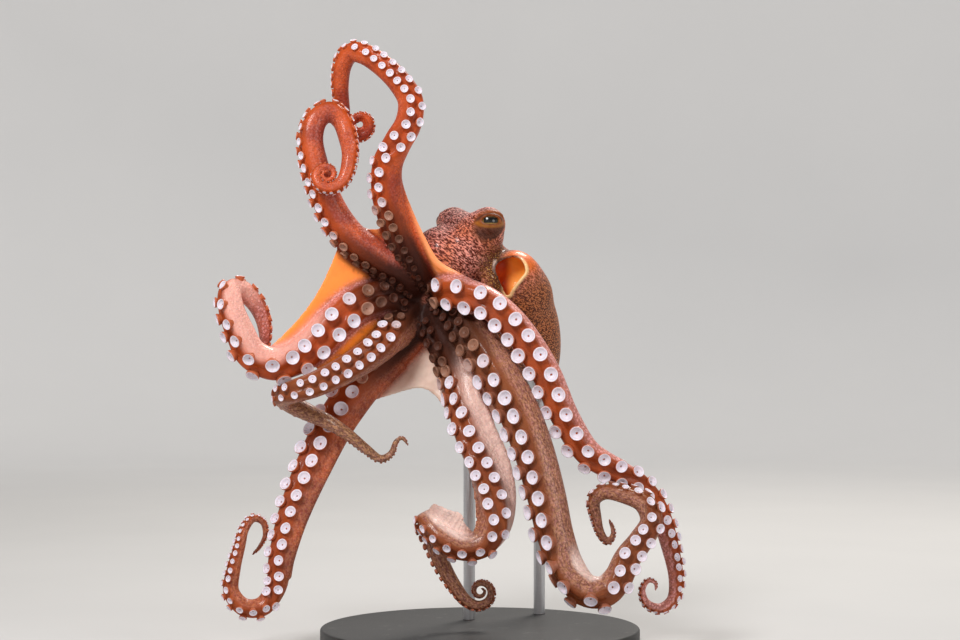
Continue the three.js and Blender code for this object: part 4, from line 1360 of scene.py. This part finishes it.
class OctopusSkin(bpy.types.PropertyGroup):
    cell: length_of("Cell", 0.0016, "Spacing of the grid that the skin is meshed on")
    faces: IntProperty(
        name="Faces", description="Triangles left in the skin", default=170000, min=20000
    )
    arm_orange: colour_of("Arm orange", (0.660, 0.098, 0.012), "Back of the warm arms")
    arm_deep: colour_of("Arm red", (0.330, 0.032, 0.006), "Deeper blotches on the warm arms")
    oral_red: colour_of("Underside red", (0.560, 0.080, 0.010), "Undersides of the warm arms")
    oral_brown: colour_of("Underside brown", (0.250, 0.075, 0.022), "Undersides of the tan arms")
    oral_dark: colour_of("Underside shade", (0.130, 0.014, 0.004), "Blotches between the suckers")
    back_tan: colour_of("Back tan", (0.400, 0.205, 0.085), "Back of the tan arms")
    back_streak: colour_of("Back streaks", (0.085, 0.032, 0.013), "Dark streaks along the tan arms")
    # Also the colour of the painted highlight on the tops of head and mantle.
    frost: colour_of("Frost", (0.840, 0.370, 0.340), "Pale pink skin along an arm's edges")
    blush: colour_of("Blush", (0.920, 0.400, 0.310), "Blanched skin on the warm arms")
    cream: colour_of("Cream", (0.950, 0.720, 0.640), "Blanched skin on the tan arms")
    net_dark: colour_of("Furrows", (0.120, 0.020, 0.010), "Gaps between the ridges of the skin")
    web_cream: colour_of("Pale web", (0.860, 0.690, 0.590), "The palest webs")
    # Also the colour of the painted glow of light through the webs.
    web_orange: colour_of("Orange web", (0.880, 0.220, 0.014), "The webs that let light through")
    web_brown: colour_of("Web blotches", (0.300, 0.110, 0.040), "Blotches on the webs")
    # Painted shade round the mouth, not the skin's own colour.
    crown_painted_shade: colour_of("Crown", (0.020, 0.004, 0.002), "The skin round the mouth")
    head_rose: colour_of("Head rose", (0.960, 0.400, 0.320), "Ridges on the head")
    head_orange: colour_of("Head orange", (0.780, 0.230, 0.110), "Warmer ridges on the head")
    collar: colour_of("Collar", (0.760, 0.150, 0.014), "Smooth skin on the mantle's front edge")
    sac: colour_of("Mantle brown", (0.600, 0.200, 0.070), "Specks on the mantle's sides")
    sac_deep: colour_of("Mantle shade", (0.120, 0.030, 0.011), "Skin between the specks on the mantle")
    gold: colour_of("Gold specks", (0.560, 0.290, 0.065), "Specks beside the mantle's opening")
    speckle_dark: colour_of("Speckle ground", (0.120, 0.032, 0.010), "Skin between the gold specks")
    lid: colour_of("Eyelid", (0.290, 0.070, 0.009), "Smooth skin round the eye")
    lid_gold: colour_of("Lower lid", (0.430, 0.160, 0.018), "The golden lower lid")
    # Painted shade in the folds over the eye and where the mantle's lip lies against the head.
    lid_fold_shade: colour_of("Lid folds", (0.050, 0.012, 0.006), "The folds over the eye")
    # Painted shade under the eye's bulge.
    lid_under_shade: colour_of("Eyelid shade", (0.050, 0.011, 0.003), "Deeper tone of the skin under the eye")
    inside: colour_of("Mantle inside", (0.960, 0.360, 0.050), "Skin inside the mantle's opening")
    # Painted shade inside the opening, on its side next to the head.
    inside_shade: colour_of("Mantle depth", (0.330, 0.030, 0.004), "The opening's side next to the head")
    lip: colour_of("Mantle lip", (0.980, 0.640, 0.300), "The rim of the mantle's opening")


class OctopusSuckers(bpy.types.PropertyGroup):
    largest: length_of("Largest", 0.0150, "Width of the largest sucker")
    spacing: FloatProperty(
        name="Spacing", description="Step between suckers, in widths", default=0.69, min=0.3
    )
    tilt: FloatProperty(
        name="Tilt", description="How far each row leans outwards", default=0.22, subtype="ANGLE"
    )
    disc: colour_of("Disc", (0.900, 0.860, 0.950), "The face of a sucker")
    disc_shade: colour_of("Disc shade", (0.800, 0.710, 0.800), "Deeper tone of the face")
    # Painted shade in the hollow of a sucker.
    disc_hollow_shade: colour_of("Disc hollow", (0.600, 0.420, 0.420), "The hollow of a sucker")
    disc_ring: colour_of("Ring", (0.520, 0.330, 0.290), "The faint ring inside the rim")
    # Painted shade in the hole in a sucker's middle.
    disc_hole_shade: colour_of("Centre", (0.090, 0.060, 0.065), "The hole in the middle")
    # Painted shade on the suckers near the mouth: the half and the full tone.
    disc_half_shade: colour_of("Brown disc", (0.400, 0.190, 0.120), "Suckers on the way to the mouth")
    disc_full_shade: colour_of("Dim disc", (0.070, 0.018, 0.009), "The small suckers round the mouth")
    stalk_orange: colour_of("Warm stalk", (0.560, 0.130, 0.045), "Stalks on the warm arms")
    stalk_brown: colour_of("Brown stalk", (0.330, 0.120, 0.070), "Stalks on the tan arms")


class OctopusEyes(bpy.types.PropertyGroup):
    pupil_width: share_of("Pupil width", 0.68, "Half its width, in eye radii")
    pupil_height: share_of("Pupil height", 0.27, "Half its height, in eye radii")
    iris: colour_of("Iris", (0.300, 0.150, 0.025), "The iris")
    iris_dark: colour_of("Iris fibres", (0.110, 0.042, 0.010), "Darker fibres in the iris")
    iris_bright: colour_of("Iris rim", (0.520, 0.300, 0.070), "The bright line round the pupil")
    # Also the colour of the painted shade over the iris's upper part.
    iris_edge_and_shade: colour_of("Iris edge", (0.060, 0.022, 0.008), "The dark edge of the iris")


class OctopusStand(bpy.types.PropertyGroup):
    board: colour_of("Lacquer", (0.018, 0.017, 0.017), "The base's lacquer")
    board_worn: colour_of("Lacquer drift", (0.034, 0.032, 0.030), "Slightly paler patches in it")
    board_scuff: colour_of("Scuffs", (0.160, 0.150, 0.140), "Fine wear on the base's upper edge")
    board_edge: length_of("Edge", 0.0172, "Height of the wear on the base's edge")
    steel: colour_of("Steel", (0.620, 0.620, 0.630), "The brushed rods")
    steel_dark: colour_of("Steel lines", (0.400, 0.400, 0.415), "Darker lines in the brushed rods")


class OctopusStage(bpy.types.PropertyGroup):
    floor: colour_of("Floor", (0.560, 0.550, 0.540), "The studio floor")
    floor_shade: colour_of("Floor shade", (0.510, 0.502, 0.495), "Slight drift in the floor's tone")
    key: power_of("Key light", 40.0, "Large light above and in front")
    rim: power_of("Rim light", 62.0, "Light from behind and above")
    fill: power_of("Fill light", 9.0, "Low light from the right")


# ---- Pieces ----


def skin_values(piece, field, line):
    """Numbers on the skin's points that say which part of the animal each belongs to."""
    mesh = piece.data
    points = points_of(mesh)
    arms, webs, body = (field.sample(values, points) for values in (field.arms, field.webs, field.body))
    station = field.station[field.cells_near(points)]
    known = station >= 0
    index = np.where(known, station, 0)
    out, aside, ahead = line.coordinates(index, points)
    angle = np.arctan2(aside, out)
    near = smoothstep(0.0000, 0.0080, arms - webs)
    on_body = smoothstep(-0.003, 0.003, arms - body) * (1 - smoothstep(0.0, 0.003, body - webs))
    eyes, under, crease, arc = np.zeros((4, len(points)))
    for name in EYES:
        middle, _, level, up, forward = eye_frame(name)
        offset = points - middle
        seen = np.stack([offset @ level, offset @ up], 1)
        patch = np.linalg.norm((seen - EYE_PATCH_MIDDLE) / EYE_PATCH_RADII, axis=1)
        shown = (1 - smoothstep(0.70, 1.15, patch)) * (offset @ forward > 0)
        eyes = np.maximum(eyes, shown)
        # Painted shade below each eye.
        under = np.maximum(under, smoothstep(0.004, -0.012, offset @ up) * shown)
        # Painted shade in the folds over each eye, on its upper side only.
        lids = np.linalg.norm(seen / LID_OPENING, axis=1)
        upper = smoothstep(-0.002, 0.002, offset @ up)
        front = (offset @ forward > 0) * on_body
        folds = bell(lids, 1.5, 0.5) + 0.5 * bell(lids, 2.9, 0.6)
        crease = np.maximum(crease, folds * upper * front)
        arc = np.maximum(arc, bell(lids, 1.55, 0.45) * (1 - upper) * front)
    opening = opening_distance(points)
    shell = mantle_shell(points)
    free = free_edge(points)
    lip = (1 - smoothstep(0.0014, 0.0026, np.hypot(opening, shell))) * on_body
    within = (1 - smoothstep(0.0004, 0.0018, opening)) * (shell < 0.0015) * (1 - lip)
    collar = 1 - smoothstep(0.012, 0.030, np.linalg.norm(points - COLLAR_SHINE, axis=1))
    collar *= 1 - within
    beside = (1 - smoothstep(0.004, 0.026, np.abs(opening))) * (1 - free) * (1 - collar)
    back = (points - MANTLE_FRONT) @ unit(MANTLE_TIP - MANTLE_FRONT)
    spot = np.hypot(points[:, 0] - BARE_SPOT[0], 0.35 * (points[:, 2] - BARE_SPOT[1]))
    # Painted shade round the mouth: on skin near the crown that faces the front, and on the undersides
    # of the arms near their roots.
    crown = np.linalg.norm((points - CROWN_MIDDLE) / CROWN_SHADE_RADII, axis=1)
    oral = 1 - smoothstep(0.30, 0.50, np.abs(angle) / math.pi)
    facing = smoothstep(0.15, 0.6, -normals_of(mesh)[:, 1])
    hidden = line.shade[index] * oral * known * (1 - near)
    deep = np.maximum((1 - smoothstep(0.55, 1.0, crown)) * facing, hidden)
    # Painted highlight on the upward-facing skin of head and mantle, carried by rose.
    top = smoothstep(0.3, 0.95, normals_of(mesh)[:, 2])
    set_values(
        mesh,
        turn=np.where(known, np.abs(angle) / math.pi, 0.6),
        run=np.where(known, line.s[index] + ahead, 0),
        round=np.where(known, angle * line.radius[index], 0),
        warm=np.where(known, line.warmth[index], 0.6),
        web=near,
        tint=field.tint[field.cells_near(points)],
        body=on_body,
        deep=deep * (1 - on_body) * 0.97,
        lid=eyes * on_body,
        under=under * on_body,
        crease=np.clip(crease, 0, 1),
        arc=arc,
        inside=within * on_body,
        # painted shade inside the opening, darker on the side next to the head
        depth=1 - smoothstep(-0.006, 0.004, points[:, 0] - OPENING_MIDDLE[0]),
        lip=lip * free,
        # painted shade where the lip lies against the head
        fold=lip * (1 - free),
        gold=beside * on_body * (1 - eyes),
        collar=collar * on_body * (1 - eyes),
        rose=top * on_body,
        sac=smoothstep(0.010, 0.045, back) * on_body,
        pale=(1 - smoothstep(0.0012, 0.0032, spot)) * (points[:, 1] < 0.04) * on_body,
        blanched=line.blanching(index, angle) * known,
        frost=np.where(known, line.frost[index], 0.2),
    )


EYE_FRONT = 0.008  # from an eye's middle to the middle of its lids
FINE_REACH = 0.017  # how far from there the skin's faces are cut finer
FINE_CUTS = 2
SETTLED_REACH = 0.022  # how far from there the skin is laid on its exact shape
ARM_CLEARANCE = 0.008  # which is left alone this near to an arm


class OCTOPUS_OT_skin(bpy.types.Operator):
    """Make the animal's skin as one mesh"""

    bl_idname = "octopus.skin"
    bl_label = "Skin"

    def execute(self, context):
        looks, suckers = context.scene.octopus_skin, context.scene.octopus_suckers
        field, line = whole_field(looks.cell, suckers.largest, suckers.spacing, suckers.tilt)
        piece = mesh_piece("skin", *field.mesh())
        thinned(piece, looks.faces)
        fronts = [middle + EYE_FRONT * out for middle, *_, out in map(eye_frame, EYES)]
        refined(piece, [Vector(front) for front in fronts], FINE_REACH, FINE_CUTS)
        points = points_of(piece.data)
        away = [np.linalg.norm(points - front, axis=1) for front in fronts]
        near = np.min(away, axis=0) < SETTLED_REACH
        near &= field.sample(field.arms, points) > ARM_CLEARANCE
        points[near] = settled(points[near], body_distance)
        piece.data.vertices.foreach_set("co", points.ravel())
        piece.data.update()
        skin_values(piece, field, line)
        piece.data.materials.append(skin_material(looks))
        flesh = [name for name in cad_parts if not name.startswith(("stand_", "eye_"))]
        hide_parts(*flesh)
        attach(piece, "root")
        return {"FINISHED"}


# A sucker's profile from its stalk over the rim to the hole in its middle: radius and height as shares
# of its own radius, and how far along that way each ring lies.
SUCKER_PROFILE = np.array((
    (0.80, -0.85, 0.00),
    (0.77, -0.50, 0.10),
    (0.90, -0.26, 0.25),
    (1.00, -0.06, 0.40),
    (1.00, 0.09, 0.50),
    (0.95, 0.23, 0.58),
    (0.86, 0.22, 0.66),
    (0.71, 0.03, 0.74),
    (0.48, -0.17, 0.84),
    (0.22, -0.26, 0.92),
    (0.10, -0.29, 0.96),
    (0.07, -0.37, 1.00),
    (0.00, -0.40, 1.00),
))


def sucker_piece(name, rows, chance):
    """All suckers of an arm in one mesh, from its rows of them."""
    points, faces, cup, across, up, warm, dim = [], [], [], [], [], [], []
    for row in rows:
        foot, axis, along, size = row[0:3], row[3:6], row[6:9], row[9]
        sides = 24 if size > 0.004 else 16 if size > 0.0018 else 10
        level = unit(np.cross(along, axis))
        along = np.cross(axis, level)
        stretch = 1 + 0.10 * (chance.random() - 0.5)
        angles = np.arange(sides) * 2 * math.pi / sides + chance.random()
        spoke = np.cos(angles)[:, None] * level * stretch + np.sin(angles)[:, None] * along / stretch
        first = len(points)
        for radius, height, share in SUCKER_PROFILE[:-1]:
            lift = 0.04 * math.sin(share * math.pi) * np.sin(2 * angles + 6 * row[12])
            ring = foot + size * (radius * spoke + (height + lift)[:, None] * axis)
            points += list(ring)
            cup += [share] * sides
            across += list(radius * np.cos(angles))
            up += list(radius * np.sin(angles))
        points.append(foot + size * SUCKER_PROFILE[-1, 1] * axis)
        cup.append(1.0)
        across.append(0.0)
        up.append(0.0)
        dim += [row[10]] * (len(points) - first)
        warm += [row[11]] * (len(points) - first)
        for ring in range(len(SUCKER_PROFILE) - 2):
            base = first + ring * sides
            for i in range(sides):
                j = (i + 1) % sides
                faces.append((base + i, base + j, base + sides + j, base + sides + i))
        base = len(points) - 1 - sides
        faces += [(base + i, base + (i + 1) % sides, len(points) - 1) for i in range(sides)]
    piece = mesh_piece(name, points, faces)
    set_values(piece.data, cup=cup, across=across, up=up, warm=warm, dim=dim)
    return piece


class OCTOPUS_OT_suckers(bpy.types.Operator):
    """Make the suckers of every arm"""

    bl_idname = "octopus.suckers"
    bl_label = "Suckers"

    def execute(self, context):
        looks = context.scene.octopus_suckers
        chance = np.random.default_rng(5)
        material = sucker_material(looks)
        for name, rows in zip(ARMS, all_suckers(looks.largest, looks.spacing, looks.tilt)):
            piece = sucker_piece(name.replace("arm", "suckers"), rows, chance)
            piece.data.materials.append(material)
            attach(piece, "root")
        return {"FINISHED"}


class OCTOPUS_OT_eyes(bpy.types.Operator):
    """Make both eyes"""

    bl_idname = "octopus.eyes"
    bl_label = "Eyes"

    def execute(self, context):
        material = eye_material(context.scene.octopus_eyes)
        bands, sides = 36, 64
        for name in EYES:
            middle, radius, level, up, out = eye_frame(name)
            angles = np.linspace(0, math.pi, bands + 1)
            points, faces = turned([(math.sin(a), -math.cos(a)) for a in angles], sides)
            places = middle + radius * points @ np.array((level, up, out))
            piece = mesh_piece(name.replace("eye", "eyeball"), places, faces)
            behind = 4.0 * (points[:, 2] < 0)  # keeps the pupil off the back of the eye
            set_values(piece.data, across=points[:, 0], up=points[:, 1] + behind)
            piece.data.materials.append(material)
            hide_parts(name)
            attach(piece, "root")
        return {"FINISHED"}


BOARD_EDGE_STEPS = 6
BOARD_FOOT = ((0.0015, 0.0), (0.0004, 0.0004), (0.0, 0.0015))  # its lower edge: inset and height
BOARD_SIDES = 160


class OCTOPUS_OT_stand(bpy.types.Operator):
    """Make the base and its two rods"""

    bl_idname = "octopus.stand"
    bl_label = "Stand"

    def execute(self, context):
        looks = context.scene.octopus_stand
        low, high = (np.array(corner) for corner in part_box("stand_base"))
        radius, top = (high[0] - low[0]) / 2, high[2]
        middle = (low + high) / 2
        inner, outer = radius * 0.5, radius * 0.97
        profile = [(0, low[2]), (inner, low[2])]
        profile += [(radius - inset, low[2] + lift) for inset, lift in BOARD_FOOT]
        for angle in np.linspace(math.pi / 2, 0, BOARD_EDGE_STEPS):
            inset, drop = BOARD_EDGE * (1 - math.sin(angle)), BOARD_EDGE * (1 - math.cos(angle))
            profile.append((radius - inset, top - drop))
        profile += [(outer, top), (inner, top), (0, top)]
        points, faces = turned(profile, BOARD_SIDES)
        piece = mesh_piece("base_board", points + (middle[0], middle[1], 0), faces)
        piece.data.materials.append(board_material(looks))
        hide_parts("stand_base")
        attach(piece, "root")
        material = steel_material(looks)
        for name in ("stand_rod_head", "stand_rod_mantle"):
            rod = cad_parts[name]
            for slot in rod.material_slots:
                slot.material = material
        return {"FINISHED"}


# ---- Stage ----


FLOOR_REACH = 2.9  # radius of the flat floor
FLOOR_SWEEP = 1.2  # radius of the bend between the floor and the wall
FLOOR_SIDES = 96
WALL_HEIGHT = 2.0
LIGHT_AIM = (0.0, 0.0, 0.32)
LIGHTS = {
    # place, width and colour
    "key": ((-0.9, -1.5, 1.9), 0.8, (1.0, 1.0, 1.0)),
    "rim": ((0.7, 1.6, 2.3), 0.9, (1.0, 0.96, 0.9)),
    "fill": ((1.6, -1.4, 1.0), 1.0, (1.0, 1.0, 1.0)),
}
SKY_COLOUR = (0.80, 0.82, 0.85, 1.0)
SKY_STRENGTH = 0.26
CAMERA_PLACE = (0.0, -2.27, 0.325)
CAMERA_LENS = 85.125
CAMERA_SENSOR = 36.0


def area_light(name, place, size, colour, power):
    light = bpy.data.lights.new(name, "AREA")
    light.shape = "DISK"
    light.size = size
    light.energy = power
    light.color = colour
    lamp = bpy.data.objects.new(name, light)
    lamp.location = place
    lamp.rotation_euler = (Vector(LIGHT_AIM) - Vector(place)).to_track_quat("-Z", "Y").to_euler()
    bpy.context.scene.collection.objects.link(lamp)


def bowl():
    """A round floor that sweeps up into a low wall all round, as points and faces."""
    rings = [(0.6, 0.0), (1.8, 0.0), (FLOOR_REACH, 0.0)]
    for angle in np.linspace(0.1, math.pi / 2, 14):
        reach = FLOOR_REACH + FLOOR_SWEEP * math.sin(angle)
        rings.append((reach, FLOOR_SWEEP * (1 - math.cos(angle))))
    rings.append((FLOOR_REACH + FLOOR_SWEEP, WALL_HEIGHT))
    turns = np.arange(FLOOR_SIDES) * 2 * math.pi / FLOOR_SIDES
    points = [(r * math.cos(turn), r * math.sin(turn), z) for r, z in rings for turn in turns]
    faces = [tuple(range(FLOOR_SIDES))]
    for ring in range(len(rings) - 1):
        for i in range(FLOOR_SIDES):
            low, near = ring * FLOOR_SIDES + i, ring * FLOOR_SIDES + (i + 1) % FLOOR_SIDES
            faces.append((low, low + FLOOR_SIDES, near + FLOOR_SIDES, near))
    return points, faces


class OCTOPUS_OT_stage(bpy.types.Operator):
    """Make the floor and backdrop, the lights and the camera"""

    bl_idname = "octopus.stage"
    bl_label = "Stage"

    def execute(self, context):
        looks = context.scene.octopus_stage
        floor = mesh_piece("studio_floor", *bowl())
        floor.data.materials.append(floor_material(looks))
        for name, (place, size, colour) in LIGHTS.items():
            area_light(name, place, size, colour, getattr(looks, name))
        world = bpy.data.worlds.new("studio")
        world.use_nodes = True
        sky = world.node_tree.nodes["Background"]
        sky.inputs["Color"].default_value = SKY_COLOUR
        sky.inputs["Strength"].default_value = SKY_STRENGTH
        context.scene.world = world
        lens = bpy.data.cameras.new("camera")
        lens.lens = CAMERA_LENS
        lens.sensor_width = CAMERA_SENSOR
        camera = bpy.data.objects.new("camera", lens)
        camera.location = CAMERA_PLACE
        camera.rotation_euler = (math.pi / 2, 0.0, 0.0)
        context.scene.collection.objects.link(camera)
        context.scene.camera = camera
        context.scene.view_settings.view_transform = "Standard"
        return {"FINISHED"}


class OCTOPUS_PT_panel(bpy.types.Panel):
    """The steps that build the model, in order"""

    bl_idname = "OCTOPUS_PT_panel"
    bl_label = "Octopus"
    bl_space_type = "VIEW_3D"
    bl_region_type = "UI"
    bl_category = "Octopus"

    def draw(self, context):
        for name in STEPS:
            self.layout.operator(f"octopus.{name}")


SETTINGS = dict(
    octopus_skin=OctopusSkin,
    octopus_suckers=OctopusSuckers,
    octopus_eyes=OctopusEyes,
    octopus_stand=OctopusStand,
    octopus_stage=OctopusStage,
)
STEPS = ("skin", "suckers", "eyes", "stand", "stage")
CLASSES = (
    *SETTINGS.values(),
    OCTOPUS_OT_skin,
    OCTOPUS_OT_suckers,
    OCTOPUS_OT_eyes,
    OCTOPUS_OT_stand,
    OCTOPUS_OT_stage,
    OCTOPUS_PT_panel,
)


def register():
    for each in CLASSES:
        bpy.utils.register_class(each)
    for name, group in SETTINGS.items():
        setattr(bpy.types.Scene, name, PointerProperty(type=group))


def unregister():
    for name in SETTINGS:
        delattr(bpy.types.Scene, name)
    for each in reversed(CLASSES):
        bpy.utils.unregister_class(each)


def main():
    register()
    for name in STEPS:
        getattr(bpy.ops.octopus, name)()


if __name__ == "__main__":
    main()
